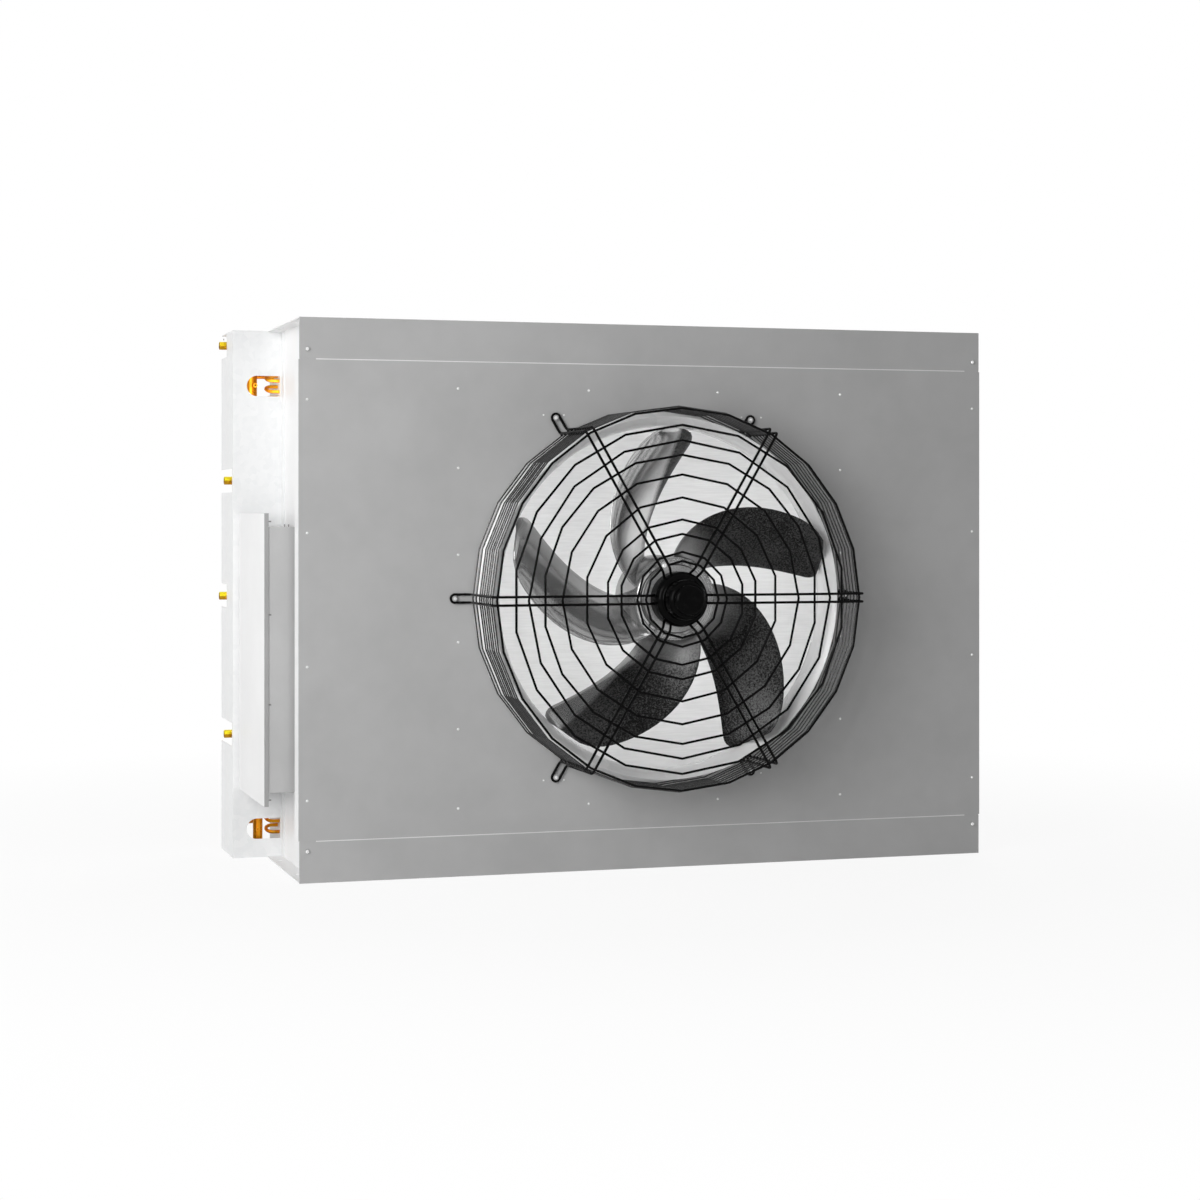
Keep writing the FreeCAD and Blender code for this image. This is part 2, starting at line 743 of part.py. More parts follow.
def blade_shape():
    tip = sheet_value(blade_tip_radius)
    sleeve = sheet_value(rotor_radius) + sheet_value(hub_sleeve_wall) / 2
    corner = sheet_value(blade_corner_radius)
    reaches = [sleeve + (tip - corner - sleeve) * step / 4 for step in range(5)]
    reaches += [tip - corner * rest for rest in (0.5, 0.13, 0)]
    # The sheet is cut square to the axis, so its thickness along the axis is the larger one
    depth = sheet_value(blade_thickness) / math.cos(math.radians(sheet_value(blade_pitch)))
    back = V(0, depth, 0)
    grid = [[blade_point(radius, step / 4) for step in range(5)] for radius in reaches]
    faces = []

    def flat_face(*corners):
        faces.append(Part.Face(Part.makePolygon(list(corners) + [corners[0]])))

    for inner, outer in zip(grid, grid[1:]):
        for step in range(4):
            a, b, c, d = inner[step], outer[step], outer[step + 1], inner[step + 1]
            for shift in (V(0, 0, 0), back):
                flat_face(a + shift, b + shift, c + shift)
                flat_face(a + shift, c + shift, d + shift)
    around = grid[0] + [line[-1] for line in grid[1:]] + grid[-1][-2::-1]
    around += [line[0] for line in grid[-2:0:-1]]
    for start, end in zip(around, around[1:] + around[:1]):
        flat_face(start, end, end + back, start + back)
    solid = Part.makeSolid(Part.makeShell(faces))
    if solid.Volume < 0:
        solid.reverse()
    return solid


blade = blade_shape()
sleeve_in = sheet_value(rotor_radius)
sleeve_out = sleeve_in + sheet_value(hub_sleeve_wall)
sleeve_back = sheet_value(rotor_back) + 1
sleeve_length = sheet_value(rotor_front) - 1 - sleeve_back
along_axis = V(0, -1, 0)
outer = Part.makeCylinder(sleeve_out, sleeve_length, V(0, -sleeve_back, 0), along_axis)
inner = Part.makeCylinder(sleeve_in, sleeve_length, V(0, -sleeve_back, 0), along_axis)
sleeve = outer.cut(inner)
pieces = []
for number in range(int(sheet_value(blade_count))):
    turned_blade = blade.copy()
    angle = sheet_value(blade_start_angle) + 360.0 * number / sheet_value(blade_count)
    turned_blade.rotate(V(0, 0, 0), V(0, -1, 0), angle)
    pieces.append(turned_blade)
impeller = doc.addObject("Part::Feature", "impeller_casting")
impeller.Shape = sleeve.multiFuse(pieces).cut(inner)
keep(impeller, "fan_impeller", 0, 0, mid_height)


# Coil section end frames: a face plate behind the fan section's side strip, an outer plate,
# and a flange that lies along the side panel
def coil_frame(name, sign, reach):
    body = new_body(name)
    wall = (half_width - side_inset) * sign
    flange_out = (half_width - side_inset + casing_sheet) * sign
    outer = reach * sign
    outer_in = (reach - coil_sheet) * sign
    profile = [
        (wall, casing_depth + coil_sheet),
        (wall, casing_depth - coil_flange),
        (flange_out, casing_depth - coil_flange),
        (flange_out, casing_depth),
        (outer, casing_depth),
        (outer, casing_depth + coil_depth),
        (outer_in, casing_depth + coil_depth),
        (outer_in, casing_depth + coil_sheet),
    ]
    high = casing_height - casing_sheet
    extrude(body, name + "_bent_sheet", "XY_Plane", [profile], casing_sheet, high)
    return body


left_reach = half_width + header_cover_reach
body = coil_frame("coil_frame_left", -1, left_reach)
slots = []
slot_start = -(half_width + window_reach)
slot_end = side_inset - casing_sheet * 2 - half_width
for middle in (window_rise, casing_height - window_drop):
    round_end = window_height / 2
    slots.append(
        [
            (slot_start + round_end, middle - round_end),
            (slot_end, middle - round_end),
            (slot_end, middle + round_end),
            (slot_start + round_end, middle + round_end),
            ("via", slot_start, middle),
        ]
    )
plate_back = casing_depth + coil_sheet
extrude(body, "pipe_windows", "XZ_Plane", slots, casing_depth, plate_back, cut=True)
coil_end = casing_depth + coil_depth
notches = []
for middle, depth in (
    (stub_rise_a, rear_notch_depth),
    (stub_rise_b, front_notch_depth),
    (stub_rise_c, rear_notch_depth),
    (stub_rise_d, front_notch_depth),
):
    low = middle - notch_height / 2
    notches.append(rectangle(coil_end - depth, low, coil_end, low + notch_height))
edge = -left_reach
extrude(body, "stub_notches", "YZ_Plane", notches, edge, edge + coil_sheet, cut=True)
keep(body, "coil_frame_left")
keep(coil_frame("coil_frame_right", 1, half_width), "coil_frame_right")


def coil_cap(name, top):
    body = new_body(name)

    def up(rise):
        return casing_height - rise if top else length(rise)

    profile = [
        (casing_depth, up(0)),
        (coil_end, up(0)),
        (coil_end, up(coil_rear_lip)),
        (coil_end - coil_sheet, up(coil_rear_lip)),
        (coil_end - coil_sheet, up(casing_sheet)),
        (casing_depth, up(casing_sheet)),
    ]
    sheet_left = side_inset - half_width
    sheet_right = half_width - side_inset
    extrude(body, name + "_bent_sheet", "YZ_Plane", [profile], sheet_left, sheet_right)
    low = casing_height - casing_sheet if top else length(0)
    left = rectangle(-left_reach, casing_depth, sheet_left, coil_end)
    right = rectangle(sheet_right, casing_depth, half_width, coil_end)
    ends = extrude(body, name + "_ends", "XY_Plane", [left, right], low, low + casing_sheet)
    return keep(body, name)


coil_cap("coil_top_plate", True)
coil_cap("coil_bottom_plate", False)

# Tube sheets and fin pack. A thin web at mid depth joins the upright fins, in the place of the
# tubes that pass through them.
sheet_x = half_width - side_inset
top_inside = casing_height - casing_sheet
fin_front = casing_depth + fin_setback
fin_back = coil_end - fin_setback
for name, left in (("tube_sheet_left", -sheet_x), ("tube_sheet_right", sheet_x - coil_sheet)):
    right = left + coil_sheet
    back = coil_end - coil_sheet
    block(name, left, right, casing_depth, back, casing_sheet, top_inside)

doc.recompute()
fins = doc.addObject("Part::Feature", "fin_comb")
left = sheet_value(coil_sheet - sheet_x)
right = -left
fin_wall = sheet_value(fin_thickness)
pitch = sheet_value(fin_pitch)
count = int((right - left - fin_wall) / pitch)
spacing = (right - left - fin_wall) / count
front = sheet_value(fin_front)
back = sheet_value(fin_back)
deep = (back - front - sheet_value(fin_web)) / 2
front_line = []
back_line = []
for number in range(count + 1):
    start = left + spacing * number
    end = start + fin_wall
    front_line += [V(start, front, 0), V(end, front, 0)]
    back_line += [V(start, back, 0), V(end, back, 0)]
    if number < count:
        after = start + spacing
        front_line += [V(end, front + deep, 0), V(after, front + deep, 0)]
        back_line += [V(end, back - deep, 0), V(after, back - deep, 0)]
outline = front_line + back_line[::-1]
comb = Part.Face(Part.makePolygon(outline + [outline[0]]))
fins.Shape = comb.extrude(V(0, 0, sheet_value(top_inside - casing_sheet - coil_rear_lip * 2)))
keep(fins, "fin_pack", 0, 0, casing_sheet + coil_rear_lip)


# Return bends: half rings of tube on the outer face of each tube sheet
def return_bends(name, face, sign):
    rings = []
    for number in range(int(sheet_value(bend_count))):
        tube = doc.addObject("Part::Feature", "%s_%d" % (name, number + 1))
        centre = sheet_value(mid_height) + sheet_value(bend_pitch) * (
            number - (sheet_value(bend_count) - 1) / 2
        )
        across = sheet_value(face)
        depth = sheet_value(casing_depth + bend_back)
        tube_radius = sheet_value(bend_tube_radius)
        corners = []
        for place in range(7):
            angle = math.radians(60 * place)
            rise = centre + sheet_value(bend_radius) + tube_radius * math.cos(angle)
            corners.append(V(across, depth + tube_radius * math.sin(angle), rise))
        section = Part.Face(Part.makePolygon(corners))
        axis_point = V(across, depth, centre)
        tube.Shape = section.revolve(axis_point, V(0, sign, 0), 180)
        rings.append(tube)
    group = doc.addObject("Part::Compound", name + "_set")
    group.Links = rings
    doc.recompute()
    return keep(group, name)


return_bends("return_bends_left", -sheet_x, -1)
return_bends("return_bends_right", sheet_x, 1)


# Headers stand upright beside the left tube sheet; each circuit has a wide gas header and a
# narrow liquid header, and each header has one stub that leaves through the outer plate
def header(name, radius, out, back, low, high):
    rod = doc.addObject("Part::Cylinder", name + "_tube")
    rod.setExpression("Radius", radius.text)
    rod.setExpression("Height", (high - low).text)
    return keep(rod, name, -(half_width + out), casing_depth + back, low)


def stub(name, radius, out, back, rise):
    """A tube from its open end outside the outer plate to a collar on the header's wall."""
    tube_length = stub_reach - out
    collar_start = tube_length - radius - stub_collar_width
    collar_length = radius + stub_collar_width
    rods = []
    for part, reach, start, tall in (
        ("outer", stub_radius, length(0), tube_length),
        ("collar", stub_collar_radius, collar_start, collar_length),
        ("bore", stub_bore, length(0), tube_length),
    ):
        rod = doc.addObject("Part::Cylinder", "%s_%s" % (name, part))
        rod.setExpression("Radius", reach.text)
        rod.setExpression("Height", tall.text)
        rod.Placement = FreeCAD.Placement(V(0, 0, 0), FreeCAD.Rotation(V(0, 1, 0), 90))
        rod.setExpression("Placement.Base.x", start.text)
        rods.append(rod)
    wall = doc.addObject("Part::Cylinder", name + "_header")
    wall.setExpression("Radius", radius.text)
    wall.setExpression("Height", (stub_collar_radius * 4).text)
    wall.setExpression("Placement.Base.x", tube_length.text)
    wall.setExpression("Placement.Base.z", (-(stub_collar_radius * 2)).text)
    joined = doc.addObject("Part::Fuse", name + "_joined")
    joined.Base = rods[0]
    joined.Tool = rods[1]
    pipe = doc.addObject("Part::Cut", name + "_pipe")
    pipe.Base = joined
    pipe.Tool = rods[2]
    saddle = doc.addObject("Part::Cut", name + "_saddle")
    saddle.Base = pipe
    saddle.Tool = wall
    saddle.setExpression("Placement.Base.z", rise.text)
    return saddle


def stub_pair(name, radius, out, back, rises):
    group = doc.addObject("Part::Compound", name + "_set")
    group.Links = [stub("%s_%d" % (name, index), radius, out, back, rise) for index, rise in rises]
    doc.recompute()
    return keep(group, name, -(half_width + stub_reach), casing_depth + back, 0)


gas = (gas_header_radius, gas_header_out, gas_header_back)
liquid = (liquid_header_radius, liquid_header_out, liquid_header_back)
gas_spans = [
    (stub_rise_c + header_end + gas_header_gap, stub_rise_a + header_end),
    (gas_header_foot, stub_rise_c + header_end),
]
liquid_spans = [
    (stub_rise_b + header_end - liquid_header_length, stub_rise_b + header_end),
    (stub_rise_d + header_end - liquid_header_length, stub_rise_d + header_end),
]
header("gas_header_upper", *gas, *gas_spans[0])
header("gas_header_lower", *gas, *gas_spans[1])
header("liquid_header_upper", *liquid, *liquid_spans[0])
header("liquid_header_lower", *liquid, *liquid_spans[1])
stub_pair("gas_stubs", *gas, [(1, stub_rise_a), (2, stub_rise_c)])
stub_pair("liquid_stubs", *liquid, [(1, stub_rise_b), (2, stub_rise_d)])

# Feeders join the headers to the tube sheet
body = new_body("feeder_tubes")
gas_start = gas_header_radius - half_width - gas_header_out
liquid_start = liquid_header_radius - half_width - liquid_header_out
gas_feeders = []
for low, high in gas_spans:
    for share in (0, 0.5, 1):
        rise = (high - feeder_inset) * (1 - share) + (low + feeder_inset) * share
        gas_feeders.append(hexagon(casing_depth + gas_header_back, rise, feeder_radius))
liquid_feeders = []
for low, high in liquid_spans:
    for share in (0, 1):
        rise = (high - feeder_inset) * (1 - share) + (low + feeder_inset) * share
        depth = casing_depth + liquid_header_back
        liquid_feeders.append(hexagon(depth, rise, feeder_radius))
extrude(body, "gas_feeders", "YZ_Plane", gas_feeders, gas_start, -sheet_x)
extrude(body, "liquid_feeders", "YZ_Plane", liquid_feeders, liquid_start, -sheet_x)
keep(body, "feeder_tubes")

# Connection box: an open-sided case on the left side panel, a cover over its outer side,
# a terminal strip on a rail inside and a gland in its floor
box_inner = half_width - side_inset + casing_sheet
box_outer = half_width + cover_reach - box_sheet
box_back = casing_depth - box_back_gap
body = new_body("service_box_body")
profile = rectangle(-box_outer, box_front, -box_inner, box_back)
extrude(body, "box_case", "XY_Plane", [profile], box_low, box_high)
hollow = rectangle(box_front + box_sheet, box_low + box_sheet, box_back - box_sheet, box_high - box_sheet)
extrude(body, "box_hollow", "YZ_Plane", [hollow], -box_outer, -(box_inner + box_sheet), cut=True)
gland_x = -((box_inner + box_outer) / 2)
hole = ("circle", gland_x, gland_back, gland_hole_radius)
extrude(body, "gland_hole", "XY_Plane", [hole], box_low, box_low + box_sheet, cut=True)
keep(body, "service_box_body")

body = new_body("service_box_cover")
face_x = -(half_width + cover_reach)
lip_x = face_x + cover_lip
profile = [
    (face_x, box_front - box_sheet),
    (lip_x, box_front - box_sheet),
    (lip_x, box_front),
    (face_x + box_sheet, box_front),
    (face_x + box_sheet, box_back),
    (face_x, box_back),
]
cover_low = box_low - cover_overlap
cover_high = box_high + cover_overlap
extrude(body, "cover_bent_sheet", "XY_Plane", [profile], cover_low, cover_high)
keep(body, "service_box_cover")

rail_back = box_inner + box_sheet
rail_mid = (box_front + box_back) / 2
box_mid = (box_low + box_high) / 2
rail_low = box_mid - terminal_height / 2
rail_high = box_mid + terminal_height / 2
rail_face = -(rail_back + rail_depth)
rail_a = rail_mid - rail_width / 2
rail_b = rail_mid + rail_width / 2
block("terminal_rail", rail_face, -rail_back, rail_a, rail_b, rail_low, rail_high)
strip_a = rail_mid - terminal_width / 2
strip_b = rail_mid + terminal_width / 2
strip_face = rail_face - terminal_depth
block("terminal_strip", strip_face, rail_face, strip_a, strip_b, rail_low, rail_high)

body = new_body("cable_gland")
nut = [hexagon(0, 0, gland_radius), ("circle", 0, 0, gland_bore)]
shank = [("circle", 0, 0, gland_shank_radius), ("circle", 0, 0, gland_bore)]
extrude(body, "gland_nut", "XY_Plane", nut, -gland_drop, 0)
extrude(body, "gland_shank", "XY_Plane", shank, 0, box_sheet * 4)
keep(body, "cable_gland", gland_x, gland_back, box_low)

doc.recompute()
for item in doc.Objects:
    if "Invalid" in item.State or "Error" in item.State:
        raise ValueError("%s failed: %s" % (item.Name, item.State))
for name, item in nodes:
    if item.Shape.isNull() or not item.Shape.isValid():
        raise ValueError("%s has no valid shape" % name)

os.makedirs("parts", exist_ok=True)
for name, item in nodes:
    item.Shape.exportStep("parts/%s.step" % name)
print(len(nodes), "sub-parts written")
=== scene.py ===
# %% [markdown]
# # A precision air conditioner, dressed over its frame
# The frame holds every part of the unit at its real place, in metres, with X to the right
# along the front, Y from the front to the back and Z up. This lesson loads it, reads the boxes
# of some parts, and then builds what the frame leaves plain: round wires, smooth blades, fins,
# bends, screws and finishes. Each piece rides on a body of the frame, so the fan can turn.

# %% Load the frame
import math

import bmesh
import bpy
from mathutils import Matrix, Vector


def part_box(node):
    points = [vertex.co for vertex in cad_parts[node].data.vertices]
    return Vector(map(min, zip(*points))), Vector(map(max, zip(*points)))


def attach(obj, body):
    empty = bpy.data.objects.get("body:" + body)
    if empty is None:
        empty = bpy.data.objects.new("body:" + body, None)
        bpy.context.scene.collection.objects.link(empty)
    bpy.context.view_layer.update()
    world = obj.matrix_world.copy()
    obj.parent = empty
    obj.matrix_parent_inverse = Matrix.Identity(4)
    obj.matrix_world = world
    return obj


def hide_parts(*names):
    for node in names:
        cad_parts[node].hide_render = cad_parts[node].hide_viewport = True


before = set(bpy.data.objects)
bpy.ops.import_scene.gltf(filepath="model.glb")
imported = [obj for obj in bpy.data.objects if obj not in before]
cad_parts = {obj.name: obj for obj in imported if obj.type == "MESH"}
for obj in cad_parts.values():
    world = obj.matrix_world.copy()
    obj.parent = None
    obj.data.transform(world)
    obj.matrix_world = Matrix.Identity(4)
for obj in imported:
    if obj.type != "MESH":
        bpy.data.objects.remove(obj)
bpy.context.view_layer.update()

mm = 0.001
fan_height = 0.515
front_y = -0.180

# %% [markdown]
# ## The camera first
# The photograph was taken level, from the left of the unit and nearly five metres away.
# A level camera keeps upright edges upright, so the view is moved down with the lens shift
# and not by tipping the camera.

# %% Camera
picture_width = 1200
focal_pixels = 2409.7
horizon_row = 513.46
camera_place = (-1.4504, -4.5213, 0.6726)
camera_turn = 0.3001
sensor_width = 36.0
lens_data = bpy.data.cameras.new("photo_camera")
lens_data.sensor_width = sensor_width
lens_data.lens = sensor_width * focal_pixels / picture_width
lens_data.shift_y = (horizon_row - picture_width / 2) / picture_width
lens_data.clip_end = 100.0
camera = bpy.data.objects.new("photo_camera", lens_data)
camera.location = camera_place
camera.rotation_euler = (math.radians(90), 0, -camera_turn)
bpy.context.scene.collection.objects.link(camera)
bpy.context.scene.camera = camera
print("lens", round(lens_data.lens, 2), "mm")

# %% [markdown]
# ## Writing shaders as sums
# A material is a small net of nodes. Here one class stands for an output socket, and the
# usual signs add the Math nodes, so a mask can be written as 1 - spots * 0.3. The upright
# bar gives the larger of two values, which joins two masks.

# %% Socket maths
class Output:
    """One output socket of a material; signs between two of them add Math nodes."""

    def __init__(self, finish, socket):
        self.finish = finish
        self.socket = socket

    def sum_of(self, operation, first, second):
        return self.finish.node("Math", {"operation": operation}, {0: first, 1: second})

    def __add__(self, other):
        return self.sum_of("ADD", self, other)

    def __sub__(self, other):
        return self.sum_of("SUBTRACT", self, other)

    def __mul__(self, other):
        return self.sum_of("MULTIPLY", self, other)

    def __pow__(self, other):
        return self.sum_of("POWER", self, other)

    def __gt__(self, other):
        return self.sum_of("GREATER_THAN", self, other)

    def __rsub__(self, other):
        return self.sum_of("SUBTRACT", other, self)

    def __or__(self, other):
        return self.sum_of("MAXIMUM", self, other)


print("signs:", "+ - * ** > |")

# %% [markdown]
# ## One class for a finish
# A finish is a material, or the world, under construction. Its method node makes any node:
# it takes the type, the settings and what goes into the sockets. The other methods are
# short names for the nodes that nearly every finish needs. All patterns use the object's
# own coordinates, so they stay on the piece when it turns.

# %% Finishes
class Finish:
    """A material, or the world, under construction."""

    def __init__(self, name, kind="Material"):
        store = bpy.data.worlds if kind == "World" else bpy.data.materials
        self.kind = kind
        self.result = store.new(name)
        self.result.use_nodes = True
        self.tree = self.result.node_tree
        self.tree.nodes.clear()
        self.place = self.node("TexCoord", {}, {}, "Object")

    def node(self, kind, settings, inputs, output=0):
        made = self.tree.nodes.new("ShaderNode" + kind)
        for name, value in settings.items():
            setattr(made, name, value)
        for key, value in inputs.items():
            if isinstance(value, Output):
                self.tree.links.new(value.socket, made.inputs[key])
            else:
                made.inputs[key].default_value = value
        return Output(self, made.outputs[output])

    def ray(self, kind):
        """One for rays of this kind, and nought for all others."""
        return self.node("LightPath", {}, {}, "Is %s Ray" % kind)

    def scaled(self, x, y, z):
        """The object's coordinates, stretched."""
        return self.node("Mapping", {}, {0: self.place, 3: (x, y, z)})

    def along(self, direction):
        """How far a point of the object lies in one direction."""
        product = {"operation": "DOT_PRODUCT"}
        return self.node("VectorMath", product, {0: self.place, 1: direction}, 1)

    def noise(self, scale, detail, rough, where=None):
        inputs = {"Vector": where or self.place, "Scale": scale}
        inputs.update({"Detail": detail, "Roughness": rough})
        return self.node("TexNoise", {}, inputs)

    def cells(self, scale, output="Distance"):
        inputs = {"Vector": self.place, "Scale": scale}
        return self.node("TexVoronoi", {}, inputs, output)

    def spread(self, value, low, high, to_low=0.0, to_high=1.0):
        inputs = {"Value": value, 1: low, 2: high, 3: to_low, 4: to_high}
        return self.node("MapRange", {}, inputs)

    def mix(self, factor, first, second):
        inputs = {0: factor, 6: first, 7: second}
        return self.node("Mix", {"data_type": "RGBA"}, inputs, 2)

    def bump(self, height, strength, distance):
        inputs = {"Height": height, "Strength": strength, "Distance": distance}
        return self.node("Bump", {}, inputs)

    def close(self, shader):
        """Sends a shader to the output."""
        end = self.tree.nodes.new("ShaderNodeOutput" + self.kind)
        self.tree.links.new(shader.socket, end.inputs["Surface"])
        return self.result

    def surface(self, inputs):
        return self.close(self.node("BsdfPrincipled", {}, inputs))


def grey(level, tint=(1.0, 1.0, 1.0)):
    return (level * tint[0], level * tint[1], level * tint[2], 1.0)


print("class for finishes ready")

# %% [markdown]
# ## Plain studio light
# The photograph has a white ground and soft light that comes mostly from the left, so the
# left faces are almost white and the front falls off to the right. An even, weak sky fills
# the shadows. The Light Path node shows plain white in its place to the camera and to
# mirrored and transmitted rays, so metal sees the white room without more light on paint.

# %% World
scene = bpy.context.scene
scene.view_settings.view_transform = "Standard"
sky_level = 0.17
studio = Finish("studio", "World")
white_room = studio.node("Background", {}, {"Color": grey(1.0), "Strength": 1.0})
sky = studio.node("Background", {}, {"Color": grey(1.0), "Strength": sky_level})
seen = studio.ray("Camera") | studio.ray("Glossy") | studio.ray("Transmission")
scene.world = studio.close(studio.node("MixShader", {}, {0: seen, 1: sky, 2: white_room}))
print("sky level", sky_level)

# %% [markdown]
# ## Lamps
# One large lamp in front at the left lights the face, a weaker one the left side, and a
# third the back. Two small lamps inside stand for light that comes in from all sides: one
# behind the fan shines on the coil, and one stands in the narrow space with the headers.
# These two are hidden from the camera.

# %% Lamps
def lamp(name, place, aim, width, height, watts):
    data = bpy.data.lights.new(name, "AREA")
    data.shape = "RECTANGLE"
    data.size = width
    data.size_y = height
    data.energy = watts
    item = bpy.data.objects.new(name, data)
    item.location = place
    item.rotation_euler = (Vector(aim) - Vector(place)).to_track_quat("-Z", "Y").to_euler()
    scene.collection.objects.link(item)
    return item


lamp("key_lamp", (-2.7, -2.4, 1.45), (0, 0, 0.5), 2.0, 2.0, 88)
lamp("left_lamp", (-4.0, 0.6, 0.9), (-0.7, 0.1, 0.5), 1.8, 1.8, 22)
lamp("back_lamp", (2.4, 3.6, 2.6), (0, 0, 0.5), 2.4, 2.0, 95)
behind_fan, at_coil = (0, -0.13, fan_height), (0, 0.2, fan_height)
inner = lamp("plenum_lamp", behind_fan, at_coil, 1.1, 0.8, 6.6)
slot_lamp = lamp("header_lamp", (-0.684, 0.188, 0.545), (-0.684, 0.3, 0.545), 0.08, 0.85, 0.33)
for item in (inner, slot_lamp):
    item.visible_camera = False

# %% [markdown]
# ## The floor
# The floor is matt under the unit, so it keeps the soft shadow. Further away it glows at a
# strength of 1 for the camera and for mirrored rays, so it melts into the white world. A
# plain diffuse floor everywhere would show a horizon.

# %% Floor
floor_reach = 14.0
floor_drop = 0.0004
shadow_reach = (0.9, 2.4)
floor_finish = Finish("floor_white")
shown = floor_finish.ray("Camera") | floor_finish.ray("Glossy")
away = floor_finish.node("VectorMath", {"operation": "LENGTH"}, {0: floor_finish.place}, 1)
share = floor_finish.spread(away, *shadow_reach, 0.9, 1.0)
matt = floor_finish.node("BsdfDiffuse", {}, {"Color": grey(0.9)})
glow = floor_finish.node("Emission", {}, {"Color": grey(1.0), "Strength": 1.0})
mixed = floor_finish.node("MixShader", {}, {0: shown * share, 1: matt, 2: glow})
floor_mesh = bmesh.new()
bmesh.ops.create_grid(floor_mesh, x_segments=1, y_segments=1, size=floor_reach)
floor_data = bpy.data.meshes.new("floor")
floor_mesh.to_mesh(floor_data)
floor_mesh.free()
floor_data.materials.append(floor_finish.close(mixed))
floor = bpy.data.objects.new("floor", floor_data)
floor.location.z = -floor_drop
scene.collection.objects.link(floor)
print("floor ready")

# %% [markdown]
# ## The painted casing
# The casing is bent from painted sheet. Its front is a soft grey with cloudy patches a hand
# wide, and all that lies behind the front is nearly white. The front's grey is painted shade:
# the pale paint, lit from the left, is drawn darker on faces in front of a given depth. Noise
# as wide as a hand and as two fingers moves the colour and the gloss a little, and two much
# finer layers give the paint its skin. More of any would look crumpled where a lamp is
# mirrored at a low angle.

# %% Casing paint
def casing_paint(name, front_shade_level, rest_level, front_edge):
    """Paint that is grey with painted shade in front of front_edge and pale behind it."""
    finish = Finish(name)
    wide = finish.noise(5.5, 3.0, 0.5)
    middle = finish.noise(24.0, 2.0, 0.5)
    fine = finish.noise(900.0, 2.0, 0.6)
    skin = finish.noise(260.0, 2.0, 0.5)
    cloud = finish.spread(wide * 0.7 + middle * 0.3, 0.36, 0.64)
    deep = finish.node("SeparateXYZ", {}, {0: finish.place}, 1)
    behind = deep > front_edge
    # Painted shade: dark is the paint's shaded copy for the front, pale is the paint itself.
    dark = finish.mix(cloud, grey(front_shade_level * 0.955), grey(front_shade_level * 1.045))
    pale = finish.mix(cloud, grey(rest_level * 0.975), grey(rest_level * 1.02))
    return finish.surface({
        "Base Color": finish.mix(behind, dark, pale),
        "Roughness": finish.spread(middle + fine * 0.2, 0.3, 0.8, 0.42, 0.47),
        "Normal": finish.bump(skin + fine * 0.4, 0.012, 0.0006),
        "Coat Weight": 0.1,
        "Coat Roughness": 0.35,
    })


# The front levels 0.45, 0.46 and 0.34 are painted shade; 0.83 and 0.8 are the paint itself.
paint = casing_paint("casing_paint", 0.45, 0.83, -0.1788)
pale_paint = casing_paint("side_paint", 0.83, 0.83, -1.0)
box_paint = casing_paint("box_paint", 0.46, 0.8, -0.1205)
cover_paint = casing_paint("cover_paint", 0.34, 0.8, -0.1225)
print("casing paints made")

# %% [markdown]
# ## Zinc, aluminium, copper and brass
# The coil's frame is galvanised sheet, whose zinc freezes in leaf-like spangles. Voronoi
# cells give each spangle its own tone and gloss. Copper tube is drawn, so it has faint lines
# along it and darker heat marks. The lower half of each stub is painted darker as painted
# shade under light from above; an attribute named under, stored on their points, says how
# far down a point is.

# %% Bare metals
def galvanised_sheet():
    finish = Finish("galvanised_sheet")
    warp = finish.noise(30.0, 2.0, 0.6)
    spangle = finish.cells(95.0, "Color")
    tone = finish.node("SeparateColor", {}, {0: spangle}, 0)
    cloud = finish.spread(tone * 0.6 + warp * 0.4, 0.2, 0.85)
    colour = finish.mix(cloud, grey(0.785, (0.99, 1.0, 1.005)), grey(0.825, (0.995, 1.0, 1.002)))
    return finish.surface({
        "Base Color": colour,
        "Metallic": 0.1,
        "Roughness": finish.spread(tone, 0.0, 1.0, 0.4, 0.46),
        "Normal": finish.bump(tone, 0.008, 0.0004),
    })


def fin_aluminium():
    finish = Finish("fin_aluminium")
    rows = finish.scaled(1.0, 1.0, 14.0)
    band = finish.noise(22.0, 2.0, 0.5, rows)
    dust = finish.noise(240.0, 3.0, 0.6)
    colour = finish.mix(finish.spread(band, 0.3, 0.7), grey(0.8), grey(0.88))
    colour = finish.mix(finish.spread(dust, 0.62, 0.8, 0.0, 0.25), colour, grey(0.66))
    return finish.surface({
        "Base Color": colour,
        "Metallic": 0.2,
        "Roughness": finish.spread(dust, 0.3, 0.7, 0.34, 0.5),
    })


def tube_metal(name, bright, dull, stretch, shine):
    finish = Finish(name)
    drawn = finish.noise(26.0, 2.0, 0.5, finish.scaled(*stretch))
    stain = finish.noise(26.0, 4.0, 0.62)
    under = finish.node("Attribute", {"attribute_name": "under"}, {}, 2)
    pale = finish.mix(finish.spread(drawn, 0.42, 0.58), bright, dull)
    heat = finish.spread(stain, 0.56, 0.75, 0.0, 0.4)
    dark = (dull[0] * 0.5, dull[1] * 0.3, dull[2] * 0.4, 1.0)
    return finish.surface({
        # Dark stands for real heat marks and, where under is set, for painted shade.
        "Base Color": finish.mix(heat | under * 0.85, pale, dark),
        "Metallic": 0.92,
        "Roughness": finish.spread(stain, 0.35, 0.7, shine, shine + 0.22),
        "Normal": finish.bump(drawn, 0.04, 0.0004),
    })


zinc_sheet = galvanised_sheet()
fin_metal = fin_aluminium()
bright_copper = (0.97, 0.52, 0.03, 1)
dull_copper = (0.8, 0.28, 0.012, 1)
copper = tube_metal("copper_tube", bright_copper, dull_copper, (2.0, 2.0, 2.0), 0.24)
header_copper = tube_metal("header_copper", bright_copper, dull_copper, (9, 9, 0.3), 0.22)
brass = tube_metal("brass_tube", (0.98, 0.86, 0.03, 1), (0.9, 0.62, 0.02, 1), (0.5, 9, 9), 0.22)
print("bare metals made")

